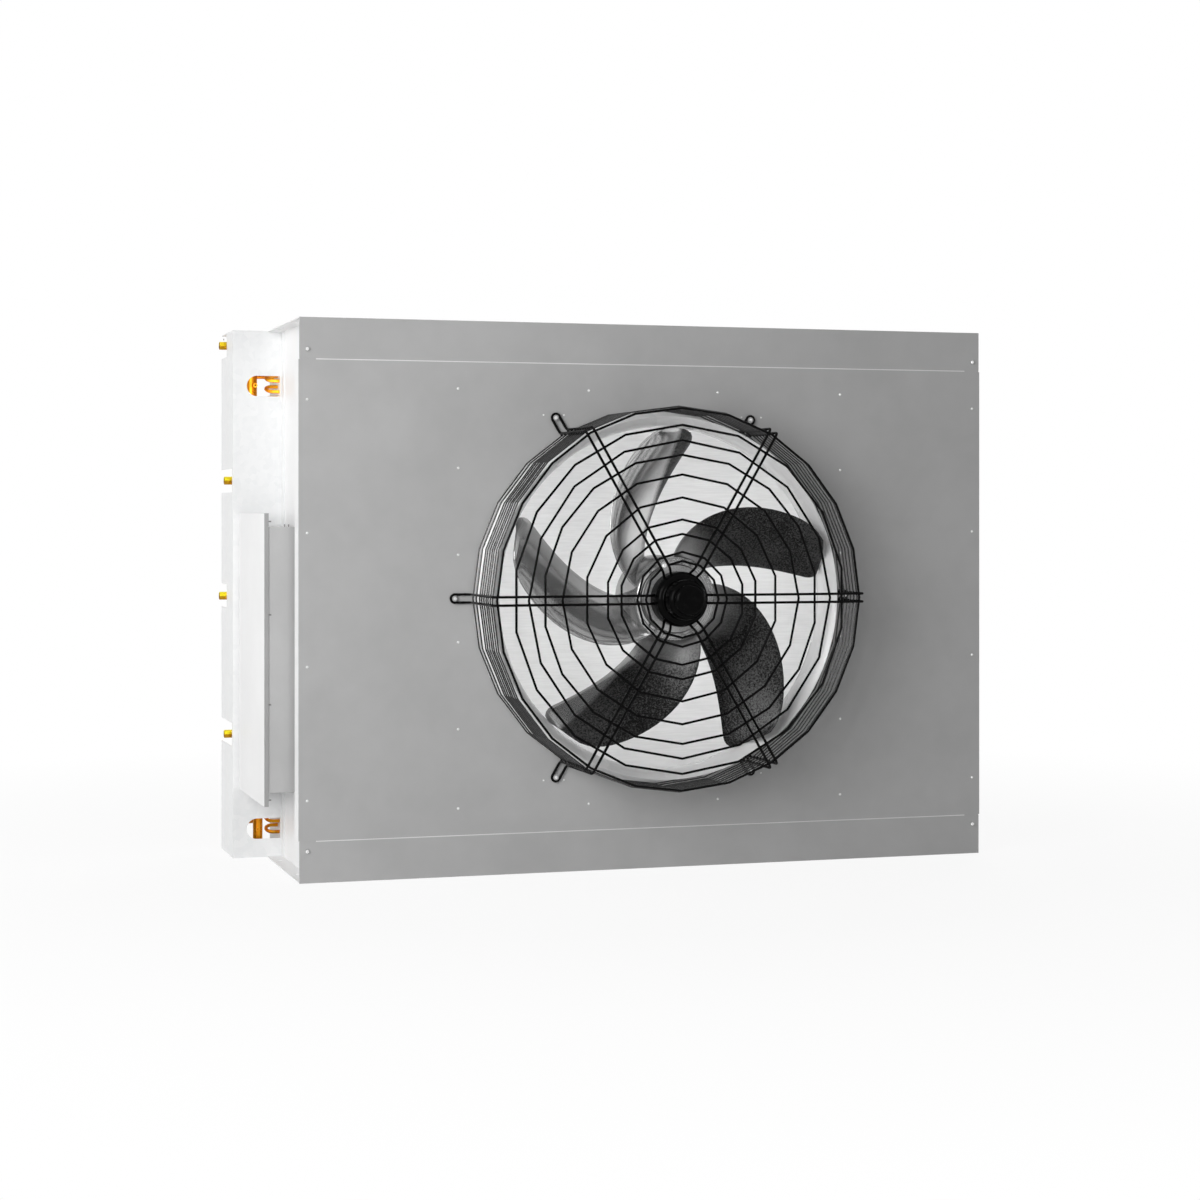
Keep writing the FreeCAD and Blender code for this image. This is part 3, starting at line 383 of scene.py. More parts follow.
# %% [markdown]
# ## Black wire, black motor and white nozzle
# The guard is dipped in gloss black plastic, and the motor is enamelled the same way: a
# dark base with a shine, and a little dust that dulls it in patches. The wires round the
# side are rubbed shinier. The nozzle is gloss white with the faint peel of sprayed paint.

# %% Black and white finishes
def gloss_black(name, dust_level, shine, matt):
    finish = Finish(name)
    dust = finish.noise(70.0, 4.0, 0.65)
    grain = finish.noise(1400.0, 2.0, 0.6)
    film = finish.spread(dust + grain * 0.15, 0.58, 0.86, 0.0, dust_level)
    return finish.surface({
        "Base Color": finish.mix(film, grey(0.0015), grey(0.02)),
        "Roughness": finish.spread(film, 0.0, 0.5, matt, matt + 0.26),
        "Normal": finish.bump(dust, 0.03, 0.0004),
        "Specular IOR Level": shine,
    })


def white_gloss():
    finish = Finish("white_gloss")
    wide = finish.noise(9.0, 3.0, 0.5)
    peel = finish.noise(220.0, 2.0, 0.5)
    return finish.surface({
        "Base Color": finish.mix(finish.spread(wide, 0.3, 0.7), grey(0.84), grey(0.9)),
        "Roughness": finish.spread(wide, 0.3, 0.7, 0.22, 0.32),
        "Normal": finish.bump(peel, 0.05, 0.0005),
        "Coat Weight": 0.35,
        "Coat Roughness": 0.12,
    })


wire_black = gloss_black("wire_black", 0.2, 0.06, 0.14)
rubbed_black = gloss_black("rubbed_black", 0.15, 0.7, 0.07)
motor_black = gloss_black("motor_black", 0.15, 0.04, 0.14)
nozzle_white = white_gloss()
print("black and white finishes made")

# %% [markdown]
# ## Speckled blades
# The blades are cast, dark grey, with pale specks as fine as sand. Towards their roots the
# colour is lighter, a painted highlight near the hub. One blade is painted lighter all over,
# its upper neighbour over most of its face and its lower one along an edge, as painted
# reflections of the white room; these zones are also smoother, so they mirror that room,
# which a rough face does not. Each reflection zone lies beyond straight lines across the fan
# and turns with it. A line is given by the direction across it and by how far along that
# direction the zone begins and is full.

# %% Speckled alloy
upper_line = ((0.5, 0, 0.87), 0.445, 0.5)
left_line = ((-1, 0, 0), 0.03, 0.05)
reflection_line = ((-0.585, 0, 0.811), 0.354, 0.362)
edge_reflection_line = ((-0.964, 0, 0.267), 0.196, 0.209)
smooth_zone_roughness = 0.11


def beyond(finish, line, waver=0.0):
    """One beyond a line and nought before it; waver makes the line uneven."""
    direction, begins, full = line
    return finish.spread(finish.along(direction) + waver, begins, full)


def speckled_alloy(name, dark, light, painted_sheen, root, shine):
    """A cast alloy: dark and speckled outside, with a painted highlight at the root near the
    axis.
    """
    finish = Finish(name)
    grain = finish.noise(300.0, 3.0, 0.8)
    speck = finish.cells(700.0)
    cloud = finish.noise(7.5, 2.0, 0.5)
    flatten = {"operation": "MULTIPLY"}
    flat = finish.node("VectorMath", flatten, {0: finish.place, 1: (1, 0, 1)})
    from_axis = {"operation": "DISTANCE"}
    reach = finish.node("VectorMath", from_axis, {0: flat, 1: (0, 0, fan_height)}, 1)
    # Painted highlight: lighter colour towards the root, near the axis.
    root_highlight = finish.spread(reach + cloud * 0.12, 0.11, 0.2, 1.0, 0.0)
    tone = finish.spread(grain * 0.7 + cloud * 0.3, 0.44, 0.58)
    colour = finish.mix(tone, grey(dark), grey(light))
    sand = finish.spread(speck, 0.05, 0.2, 0.7, 0.0)
    colour = finish.mix(sand, colour, grey(light * 3.0))
    # Painted reflections: beyond these lines the colour is lifted and the face made smoother.
    upper_side = beyond(finish, upper_line)
    reflection_zone = beyond(finish, left_line) * beyond(finish, reflection_line, cloud * 0.02)
    painted_reflection = reflection_zone * (1 - upper_side)
    colour = finish.mix(painted_reflection, colour, grey(painted_sheen))
    edge_reflection = beyond(finish, edge_reflection_line, grain * 0.01) * upper_side
    colour = finish.mix(edge_reflection, colour, grey(painted_sheen * 1.6))
    colour = finish.mix(root_highlight ** 1.5, colour, grey(root))
    smooth = painted_reflection | edge_reflection
    matt = finish.spread(grain - root_highlight * 0.3, 0.0, 0.7, shine, shine + 0.25)
    return finish.surface({
        "Base Color": colour,
        "Metallic": 0.85,
        "Roughness": matt * (1 - smooth) + smooth * smooth_zone_roughness,
        "Normal": finish.bump(grain, 0.1, 0.0005),
    })


# The third and fourth numbers are levels of painted reflection and painted highlight.
blade_alloy = speckled_alloy("blade_alloy", 0.003, 0.07, 0.33, 0.46, 0.24)
rotor_alloy = speckled_alloy("rotor_alloy", 0.1, 0.34, 0.4, 0.4, 0.12)
print("alloys made")

# %% [markdown]
# ## Small plated parts and plastics
# Screws and rivets are zinc plated, the terminals and the gland are moulded plastic. They
# are small, so their grain is fine.

# %% Plating and plastics
def plated(name, level):
    finish = Finish(name)
    grain = finish.noise(600.0, 3.0, 0.6)
    colour = finish.mix(finish.spread(grain, 0.3, 0.7), grey(level), grey(level * 1.3))
    return finish.surface({
        "Base Color": colour,
        "Metallic": 0.45,
        "Roughness": finish.spread(grain, 0.3, 0.7, 0.24, 0.4),
    })


def moulded(name, level):
    finish = Finish(name)
    grain = finish.noise(1100.0, 2.0, 0.6)
    wide = finish.noise(30.0, 2.0, 0.5)
    colour = finish.mix(finish.spread(wide, 0.3, 0.7), grey(level), grey(level * 1.2))
    return finish.surface({
        "Base Color": colour,
        "Roughness": finish.spread(grain, 0.3, 0.7, 0.42, 0.56),
        "Normal": finish.bump(grain, 0.1, 0.0003),
    })


zinc_bright = plated("zinc_bright", 0.72)
zinc_dull = plated("zinc_dull", 0.2)
zinc_grey = plated("zinc_grey", 0.34)
core_iron = plated("core_iron", 0.4)
terminal_grey = moulded("terminal_grey", 0.3)
gland_black = moulded("gland_black", 0.03)
print("small finishes made")

# %% [markdown]
# ## Giving the frame's own nodes their finish
# Flat sheet parts are already right, so they keep their shape and only get a material.
# Each node has one slot, which is filled here, finish by finish.

# %% Finishes for the frame's nodes
node_finishes = (
    (paint, "top_panel bottom_panel fan_panel"),
    (pale_paint, "side_panel_left side_panel_right"),
    (box_paint, "service_box_body"),
    (cover_paint, "service_box_cover"),
    (zinc_sheet, "coil_frame_left coil_frame_right coil_top_plate coil_bottom_plate"),
    (zinc_sheet, "tube_sheet_left tube_sheet_right"),
    (nozzle_white, "fan_nozzle nozzle_plate"),
    (wire_black, "guard_centre_rings guard_face_rings guard_side_rings guard_rim_ring"),
    (wire_black, "guard_arms"),
    (zinc_bright, "guard_screws panel_screws motor_bearings motor_shaft terminal_rail"),
    (motor_black, "motor_housing motor_cap"),
    (core_iron, "motor_stator"),
    (rotor_alloy, "rotor_shell"),
    (blade_alloy, "fan_impeller"),
    (fin_metal, "fin_pack"),
    (copper, "return_bends_left return_bends_right feeder_tubes"),
    (copper, "gas_header_upper gas_header_lower liquid_header_upper liquid_header_lower"),
    (brass, "gas_stubs liquid_stubs"),
    (terminal_grey, "terminal_strip"),
    (gland_black, "cable_gland"),
)


def coat(item, material):
    if not item.data.materials:
        item.data.materials.append(material)
    for index in range(len(item.data.materials)):
        item.data.materials[index] = material


coated = 0
for material, node_names in node_finishes:
    for node_name in node_names.split():
        coat(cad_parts[node_name], material)
        coated += 1
print("finished nodes", coated, "of", len(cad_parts))

# %% [markdown]
# ## Helpers for new pieces
# Every new piece starts as a bmesh, is shaped by operators and ends as an object at the
# origin that rides on a body. Edges that turn more than sharp_turn stay crisp, and all
# others are shaded smooth.

# %% Making a piece
sharp_turn = math.radians(32)
same_place = 0.01 * mm


def to_piece(mesh, name, body, material, stands_for=()):
    """Turns a bmesh into a riding piece."""
    bmesh.ops.remove_doubles(mesh, verts=mesh.verts, dist=same_place)
    bmesh.ops.recalc_face_normals(mesh, faces=mesh.faces)
    for face in mesh.faces:
        face.smooth = True
    for edge in mesh.edges:
        edge.smooth = len(edge.link_faces) != 2 or edge.calc_face_angle(0.0) < sharp_turn
    data = bpy.data.meshes.new(name)
    mesh.to_mesh(data)
    mesh.free()
    data.materials.append(material)
    item = bpy.data.objects.new(name, data)
    scene.collection.objects.link(item)
    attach(item, body)
    if stands_for:
        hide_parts(*stands_for)
    return item


print("pieces can be made")

# %% [markdown]
# ## Helpers for round and repeated forms
# Most pieces here are turned. An outline of a few points is spun once round an axis; the
# lathe does that about the fan's own axis. Three more helpers repeat a form round that
# axis, stamp a ready mesh at a spot, and add a plain block.

# %% Turning and copying
fan_middle = (0, 0, fan_height)


def spin(mesh, geometry, centre, axis, steps):
    """Turns edges once round an axis and joins the ends."""
    bmesh.ops.spin(
        mesh, geom=geometry, cent=centre, axis=axis, dvec=(0, 0, 0), angle=math.tau,
        steps=steps, use_merge=True, use_duplicate=False,
    )


def turned(mesh, outline, centre, axis, steps, closed=False):
    """Spins an outline that is given as points."""
    made = [mesh.verts.new(place) for place in outline]
    edges = [mesh.edges.new(pair) for pair in zip(made, made[1:])]
    if closed:
        edges.append(mesh.edges.new((made[-1], made[0])))
    spin(mesh, made + edges, centre, axis, steps)


def lathe(profile, steps=72, closed=False):
    """A new mesh from (position along Y, radius) points in millimetres."""
    mesh = bmesh.new()
    outline = [(0, front_y + y * mm, fan_height + radius * mm) for y, radius in profile]
    turned(mesh, outline, fan_middle, (0, 1, 0), steps, closed)
    return mesh


def points_of(geometry):
    return [item for item in geometry if isinstance(item, bmesh.types.BMVert)]


def copy_turned(mesh, count):
    """Repeats all that the mesh holds round the fan's axis."""
    source = mesh.verts[:] + mesh.edges[:] + mesh.faces[:]
    for number in range(1, count):
        points = points_of(bmesh.ops.duplicate(mesh, geom=source)["geom"])
        turn = Matrix.Rotation(-math.tau * number / count, 3, "Y")
        bmesh.ops.rotate(mesh, verts=points, cent=fan_middle, matrix=turn)


def stamp(mesh, data, spot):
    """Adds a copy of a ready mesh."""
    start = len(mesh.verts)
    mesh.from_mesh(data)
    mesh.verts.ensure_lookup_table()
    bmesh.ops.transform(mesh, matrix=spot, verts=mesh.verts[start:])


def block(mesh, middle, size):
    spot = Matrix.Translation(middle) @ Matrix.Diagonal((*size, 1))
    bmesh.ops.create_cube(mesh, size=1.0, matrix=spot)


print("helpers ready")

# %% [markdown]
# ## Wire rings of the guard
# A guard ring is a round wire bent round the fan and welded shut. In the photograph each
# ring has straight runs with a bend at the top, twelve on the small rings and up to
# twenty-four on the large ones. A small circle spun about the fan's axis in that many
# steps gives exactly that. The face has ten rings, and the side has nine.

# %% Guard rings
ring_wire = 4.5 * mm
face_rings = [
    (70.5, 12), (87, 12), (120, 14), (146.5, 14), (187, 14),
    (229, 16), (265, 18), (292, 16), (320, 18), (351, 24),
]
side_depths = [5, 29, 54, 69, 85, 101, 115, 131, 146]
side_bends = 24
side_wire = 3.0 * mm
face_depth = 165.3 * mm
side_radius = 355 * mm


def wire_ring(mesh, radius, depth, wire, bends):
    """Adds one ring of straight runs whose wire's middle is at depth in front of the panel."""
    made = bmesh.ops.create_circle(mesh, segments=12, radius=wire / 2)["verts"]
    turn = Matrix.Rotation(math.radians(90), 3, "Y")
    bmesh.ops.rotate(mesh, verts=made, cent=(0, 0, 0), matrix=turn)
    shift = (0, front_y - depth, fan_height + radius)
    bmesh.ops.translate(mesh, verts=made, vec=shift)
    edges = {edge for vert in made for edge in vert.link_edges}
    spin(mesh, made + list(edges), fan_middle, (0, 1, 0), bends)


face_mesh = bmesh.new()
for radius, bends_count in face_rings:
    wire_ring(face_mesh, radius * mm, face_depth, ring_wire, bends_count)
to_piece(face_mesh, "guard_face_wires", "casing", wire_black,
         ["guard_centre_rings", "guard_face_rings"])
side_mesh = bmesh.new()
for depth in side_depths:
    wire_ring(side_mesh, side_radius, depth * mm, side_wire, side_bends)
to_piece(side_mesh, "guard_side_wires", "casing", rubbed_black,
         ["guard_side_rings", "guard_rim_ring"])
print("guard rings", len(face_rings), "and", len(side_depths))

# %% [markdown]
# ## Arms of the guard
# Each arm is one wire that leaves the motor, runs out over the face, bends back along the
# side to the panel, turns round the fixing screw and comes back beside itself. A curve
# with a round bevel follows such a path. The bends are arcs worked out at each corner.

# %% Guard arms
arm_wire = 4.9 * mm
arm_gap = 7.5 * mm
foot_radius = 389 * mm
foot_depth = -arm_wire / 2 - 0.2 * mm
arm_depth = 168.4 * mm
arm_bend = 9 * mm
arm_count = 6


def rounded(points, bend):
    """A path with its corners turned into short arcs."""
    points = [Vector(point) for point in points]
    path = [points[0]]
    for before, corner, after in zip(points, points[1:], points[2:]):
        reach = min(bend, (before - corner).length / 2, (after - corner).length / 2)
        start = corner + (before - corner).normalized() * reach
        end = corner + (after - corner).normalized() * reach
        for step in range(7):
            share = step / 6
            place = start * (1 - share) ** 2 + corner * 2 * share * (1 - share)
            path.append(place + end * share**2)
    path.append(points[-1])
    return path


def arm_path(side):
    """Radius, depth and side offset of one wire, from the motor to its foot."""
    leg = side_radius + side_wire / 2 + arm_wire / 2
    return [
        (47 * mm, -150 * mm, side),
        (54 * mm, -158 * mm, side),
        (63 * mm, -arm_depth, side),
        (leg, -arm_depth, side),
        (leg, foot_depth, side),
        (foot_radius, foot_depth, side),
    ]


def arm_curve():
    """One wire: out along the face to its foot, round the screw and back."""
    out = rounded(arm_path(arm_gap), arm_bend)
    back = rounded(arm_path(-arm_gap), arm_bend)
    loop = []
    for step in range(1, 12):
        angle = math.pi / 2 - math.pi * step / 12
        across = foot_radius + arm_gap * math.cos(angle)
        loop.append(Vector((across, foot_depth, arm_gap * math.sin(angle))))
    return out + loop + back[::-1]


def tube_mesh(name, path, radius, sides=10):
    """The mesh of a round wire along a path."""
    curve = bpy.data.curves.new(name, "CURVE")
    curve.dimensions = "3D"
    curve.bevel_depth = radius
    curve.bevel_resolution = max(sides // 2 - 2, 1)
    curve.use_fill_caps = True
    line = curve.splines.new("POLY")
    line.points.add(len(path) - 1)
    for point, place in zip(line.points, path):
        point.co = (place[0], place[1], place[2], 1)
    holder = bpy.data.objects.new(name, curve)
    scene.collection.objects.link(holder)
    data = bpy.data.meshes.new_from_object(holder)
    bpy.data.objects.remove(holder)
    bpy.data.curves.remove(curve)
    return data


arm_mesh = bmesh.new()
local_path = arm_curve()
arm_points = [(p[0], p[1] + front_y, p[2] + fan_height) for p in local_path]
arm_mesh.from_mesh(tube_mesh("arm_wire_curve", arm_points, arm_wire / 2))
copy_turned(arm_mesh, arm_count)
to_piece(arm_mesh, "guard_arm_wires", "casing", wire_black, ["guard_arms"])
print("guard arms", arm_count)

# %% [markdown]
# ## Welds
# Where a ring crosses an arm the two wires are pressed together and spot welded, and the
# black coating leaves a small soft lump. A flattened ball at each crossing shows it.

# %% Weld lumps
weld_depth = 167.2 * mm
weld_reach = side_radius + 1.7 * mm
face_lump = (2.5 * mm, 2.0 * mm, 2.5 * mm)
side_lump = (2.1 * mm, 2.4 * mm, 2.1 * mm)


def ring_reach(radius, bends_count, angle):
    """How far a ring of straight runs lies from the axis in one direction."""
    run = math.tau / bends_count
    from_bend = (angle - math.pi / 2) % run
    return radius * math.cos(run / 2) / math.cos(from_bend - run / 2)


def lump(mesh, place, size):
    spot = Matrix.Translation(place) @ Matrix.Diagonal((*size, 1))
    bmesh.ops.create_icosphere(mesh, subdivisions=1, radius=1.0, matrix=spot)


def weld_lumps():
    mesh = bmesh.new()
    for arm in range(arm_count):
        turn = math.tau * arm / arm_count
        along = Vector((math.cos(turn), 0, math.sin(turn)))
        beside = Vector((-math.sin(turn), 0, math.cos(turn)))
        axis = Vector((0, front_y, fan_height))
        for side in (-arm_gap, arm_gap):
            for radius, bends_count in face_rings:
                slant = math.asin(side / (radius * mm))
                reach = ring_reach(radius * mm, bends_count, turn + slant) * math.cos(slant)
                place = axis + along * reach + beside * side
                lump(mesh, place - Vector((0, weld_depth, 0)), face_lump)
            for depth in side_depths:
                place = axis + along * weld_reach + beside * side
                lump(mesh, place - Vector((0, depth * mm, 0)), side_lump)
    return mesh


to_piece(weld_lumps(), "guard_welds", "casing", wire_black)
print("welds", arm_count * 2 * (len(face_rings) + len(side_depths)))

# %% [markdown]
# ## Screws
# A hexagon screw is a six-sided prism with a chamfered top on a round washer. Cones with
# six and with many sides make both. One screw holds each foot of the guard, one clamps its
# inner rings, and four stand in the corners of the front. Heads and washers are pieces of
# their own, because the washers are duller.

# %% Hexagon screws and washers
washer_wall = 1.4 * mm
foot_screw = (3.1 * mm, 3.0 * mm, 5.6 * mm)
clamp_screw = (4.2 * mm, 2.6 * mm, 6.5 * mm)
corner_screw = (3.4 * mm, 3.0 * mm, 4.6 * mm)
clamp_place = Vector((-36 * mm, front_y - 167 * mm, fan_height + 62.4 * mm))
edge_column = 664
corner_rises = (58 * mm, 972 * mm)
foot_lift = 3.2 * mm
front = Vector((0, -1, 0))
left = Vector((-1, 0, 0))
up = Vector((0, 0, 1))


def hex_screw(heads, washers, place, facing, sizes):
    """Adds a head and a washer; sizes are the head's radius and height and the washer."""
    head, tall, washer = sizes
    turn = facing.to_track_quat("Z", "Y").to_matrix().to_4x4()
    base = Matrix.Translation(place) @ turn
    disc = base @ Matrix.Translation((0, 0, washer_wall / 2))
    bmesh.ops.create_cone(
        washers, cap_ends=True, segments=28, radius1=washer, radius2=washer * 0.96,
        depth=washer_wall, matrix=disc,
    )
    for middle, share, top in ((0.4, 0.8, 1.0), (0.9, 0.2, 0.8)):
        spot = base @ Matrix.Translation((0, 0, washer_wall + tall * middle))
        bmesh.ops.create_cone(
            heads, cap_ends=True, segments=6, radius1=head, radius2=head * top,
            depth=tall * share, matrix=spot,
        )


screw_mesh = bmesh.new()
washer_mesh = bmesh.new()
for number in range(arm_count):
    angle = math.tau * number / arm_count
    across = foot_radius * math.cos(angle)
    upward = fan_height + foot_radius * math.sin(angle)
    foot = Vector((across, front_y - foot_lift, upward))
    hex_screw(screw_mesh, washer_mesh, foot, front, foot_screw)
hex_screw(screw_mesh, washer_mesh, clamp_place, front, clamp_screw)
to_piece(screw_mesh, "guard_fixings", "casing", zinc_bright, ["guard_screws"])

corner_mesh = bmesh.new()
for sign in (-1, 1):
    for upward in corner_rises:
        place = Vector((sign * edge_column * mm, front_y, upward))
        hex_screw(corner_mesh, washer_mesh, place, front, corner_screw)
to_piece(corner_mesh, "corner_screws", "casing", zinc_bright, ["panel_screws"])
to_piece(washer_mesh, "fixing_washers", "casing", zinc_grey)
print("screws placed")

# %% [markdown]
# ## Blind rivets
# Pop rivets have a low dome with a dimple where the mandrel broke off. A short profile
# spun about the rivet's own axis gives the dome, the dimple and the thin rim together.
# Six columns of them run down the front, and four feet of the guard have a pair of
# smaller heads beside them.

# %% Rivets
def dome_data(name, profile):
    """A small turned head, as a mesh that can be copied many times."""
    mesh = bmesh.new()
    outline = [(reach * mm, 0, rise * mm) for reach, rise in profile]
    turned(mesh, outline, (0, 0, 0), (0, 0, 1), 16)
    data = bpy.data.meshes.new(name)
    mesh.to_mesh(data)
    mesh.free()
    return data


def set_head(mesh, head, place, facing):
    """Adds one copy of a head at place, given in millimetres."""
    turn = facing.to_track_quat("Z", "Y").to_matrix().to_4x4()
    stamp(mesh, head, Matrix.Translation(Vector(place) * mm) @ turn)


rivet_head = dome_data("rivet_head", [
    (0.0, 0.4), (0.6, 0.4), (0.8, 1.05), (1.3, 1.15), (2.0, 0.8), (2.5, 0.05), (2.5, -0.3),
])
small_head = dome_data("small_head", [
    (0.0, 1.2), (0.9, 1.15), (1.5, 0.85), (1.8, 0.4), (1.8, -0.3),
])
rivet_columns = {
    edge_column: (-365, -122, 122, 365),
    382: (-389, -242, -81, 81, 242, 389),
    129: (-389, 389),
}
face, middle = front_y / mm, fan_height / mm
rivet_places = [(sign * column, face, middle + offset) for sign in (-1, 1)
                for column, offsets in rivet_columns.items() for offset in offsets]
rivet_mesh = bmesh.new()
for place in rivet_places:
    set_head(rivet_mesh, rivet_head, place, front)
beside_foot, pair_gap = 395, 40
for number in (1, 2, 4, 5):
    angle = math.tau * number / arm_count
    for side in (-pair_gap / 2, pair_gap / 2):
        across = beside_foot * math.cos(angle) + side
        upward = middle + beside_foot * math.sin(angle)
        set_head(rivet_mesh, small_head, (across, face, upward), front)
mark_left, mark_below = (-648, 152, 1003), (-666, 68, 1028)
set_head(rivet_mesh, rivet_head, mark_left, left)
set_head(rivet_mesh, rivet_head, mark_below, -up)
to_piece(rivet_mesh, "panel_rivets", "casing", zinc_bright)
print("rivets", len(rivet_places))

# %% [markdown]
# ## Small screws at the side
# The cover of the connection box is held by screws whose thin ends stand out behind its
# rim, and the box itself by two more at its top. A short pin with a rounded end is enough
# at this size, and it is copied like the rivets. One small head is on the coil's frame.

# %% Small screws at the side
cover_screws = [(-725.0, -123.0, rise) for rise in (658, 487, 322, 147)]
box_screws = [(across, -118.5, 648) for across in (-694.8, -687.4)]
frame_screw = (-745, 300, 1020)
screw_end = dome_data("screw_end", [(0.0, 4.8), (0.9, 4.7), (1.3, 4.1), (1.3, -0.4)])
edge_mesh = bmesh.new()
for place in cover_screws:
    set_head(edge_mesh, screw_end, place, -left)
for place in box_screws:
    set_head(edge_mesh, screw_end, place, up)
set_head(edge_mesh, small_head, frame_screw, left)
to_piece(edge_mesh, "side_screws", "casing", zinc_dull)
print("side screws placed")

# %% [markdown]
# ## The seams of the front
# The front panel lies between two folded lips, and light shows through the narrow gap above
# and below it as a bright line. Two thin pale bars, set back a little, stand in for that
# light as painted highlight. Near the corners the folded side closes the gap, so short grey
# bars end each seam.

# %% Painted highlight bars in the seams
panel_low, panel_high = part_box("fan_panel")
seam_gap = 2.0 * mm
seam_bar_wide = 1.296
seam_bar_wall = 1.0 * mm
seam_bar_depth = 1.1 * mm
end_wide = 30 * mm
seam_mesh = bmesh.new()
end_mesh = bmesh.new()


def seam_bar(mesh, across, middle, wide):
    place = (across, front_y + seam_bar_depth, middle)
    block(mesh, place, (wide, seam_bar_wall, seam_gap))


for middle in (panel_high[2] + seam_gap / 2, panel_low[2] - seam_gap / 2):
    seam_bar(seam_mesh, 0, middle, seam_bar_wide)
    for sign in (-1, 1):
        seam_bar(end_mesh, sign * (seam_bar_wide + end_wide) / 2, middle, end_wide)
# Painted highlight: pale bars stand for the light seen through each seam.
to_piece(seam_mesh, "seam_light_bars", "casing", pale_paint)
to_piece(end_mesh, "seam_ends", "casing", paint)
print("seams at", round(panel_high[2], 4), "and", round(panel_low[2], 4))

# %% [markdown]
# ## The nozzle
# The nozzle is spun sheet: it narrows smoothly from its plate to the blade tips and opens
# again to a rolled lip. A profile with many points, spun with many steps, keeps the
# highlights round, and the lip is rolled over like the real edge.

# %% Nozzle
plate_hole = 351.6
plate_wall = 2 * mm
round_steps = 120


def nozzle_profile():
    """The ring's wall as (depth, radius) in millimetres: inside first, then outside."""
    throat, wall = 320.0, 2.0
    bell = [(4 - 46 * step / 12, throat + 29 * (1 - step / 12) ** 2.2) for step in range(13)]
    lip = [(-62 - 26 * step / 10, throat + 16.5 * (step / 10) ** 2) for step in range(11)]
    roll = [(-89.0, 337.6), (-88.9, 339.0), (-87.6, 339.0)]
    outer_lip = [(depth + 1.3, radius + wall) for depth, radius in lip[::-1][1:]]
    outer_bell = [(depth, radius + wall) for depth, radius in bell[::-1][:-1]]
    edge = [(2.0, plate_hole), (4.0, plate_hole)]
    return bell + lip + roll + outer_lip + outer_bell + edge


to_piece(lathe(nozzle_profile(), round_steps, True), "nozzle_ring", "casing",
         nozzle_white, ["fan_nozzle"])
print("nozzle points", len(nozzle_profile()))

# %% [markdown]
# ## The sheet round the nozzle
# The nozzle is fixed to a flat sheet behind the front panel. Filling the face between a
# circle and a square gives a sheet with a round hole, and extruding it gives its wall.

# %% Sheet round the nozzle
plate_mesh = bmesh.new()
bmesh.ops.create_circle(plate_mesh, segments=round_steps, radius=plate_hole * mm)
hole_edges = plate_mesh.edges[:]
half_wide, half_high = 402 * mm, 409 * mm
square = ((-1, -1), (1, -1), (1, 1), (-1, 1))
corners = [plate_mesh.verts.new((x * half_wide, y * half_high, 0)) for x, y in square]
rim = [plate_mesh.edges.new((corners[i], corners[(i + 1) % 4])) for i in range(4)]
bmesh.ops.triangle_fill(plate_mesh, use_beauty=True, edges=hole_edges + rim)
raised = bmesh.ops.extrude_face_region(plate_mesh, geom=plate_mesh.faces[:])["geom"]
bmesh.ops.translate(plate_mesh, verts=points_of(raised), vec=(0, 0, plate_wall))
stand = Matrix.Translation((0, front_y + 2 * plate_wall, fan_height))
stand = stand @ Matrix.Rotation(math.pi / 2, 4, "X")
bmesh.ops.transform(plate_mesh, matrix=stand, verts=plate_mesh.verts)
to_piece(plate_mesh, "nozzle_back_sheet", "casing", nozzle_white,
         ["nozzle_plate"])
print("sheet round the nozzle made")

# %% [markdown]
# ## Sickle blades
# A blade is a thin cast wing that twists: steep at the hub, flatter at the tip. A flat
# grid is bent to it. One direction of the grid is the radius and the other runs from the
# back edge to the front edge. The depths are given at the root and at the tip. Solidify
# and a small bevel then give the blade body and a soft rim.

# %% Blade shape
tip_radius = 318.0
hub_radius = 77.0
corner_round = 26.0
root_radius = 75.0
blade_wall = 3.4 * mm
blade_count = 5
first_blade = 86
back_angles = (2.3, -12.2, 2.4)
front_angles = (41.8, -28.3, 1.0)
back_depths = (7, 50)
front_depths = (122, 114)
belly = 36
blade_back = front_y + 1.8 * mm


def blade_edges(radius):
    """Angles of both edges at a radius, from parabolas in the radius."""
    reach = (radius - 200) / 100
    back, front_edge = (start + slope * reach + curve * reach * reach
                        for start, slope, curve in (back_angles, front_angles))
    deep = max(0.0, radius - (tip_radius - corner_round))
    tuck = corner_round - math.sqrt(max(corner_round**2 - deep**2, 0.0))
    trim = math.degrees(tuck * 0.92 / radius)
    return back + trim, front_edge - trim


def blade_point(radius, share):
    """A point of a blade: share runs from its back edge to its front edge."""
    outward = (radius - root_radius) / (tip_radius - root_radius)
    low, high = blade_edges(radius)
    back, front_edge = (root * (1 - outward) + tip * outward
                        for root, tip in (back_depths, front_depths))
    depth = back + (front_edge - back) * share + belly * share * (1 - share)
    angle = math.radians(low + (high - low) * share)
    place = (radius * math.cos(angle), radius * math.sin(angle))
    return Vector((place[0] * mm, blade_back - depth * mm, fan_height + place[1] * mm))


def blade_mesh():
    mesh = bmesh.new()
    bmesh.ops.create_grid(mesh, x_segments=22, y_segments=12, size=0.5)
    for vert in mesh.verts:
        share = vert.co.y + 0.5
        run = vert.co.x + 0.5
        radius = hub_radius + (tip_radius - hub_radius) * (1 - (1 - run) ** 1.35)
        vert.co = blade_point(radius, share)
    bmesh.ops.recalc_face_normals(mesh, faces=mesh.faces)
    return mesh


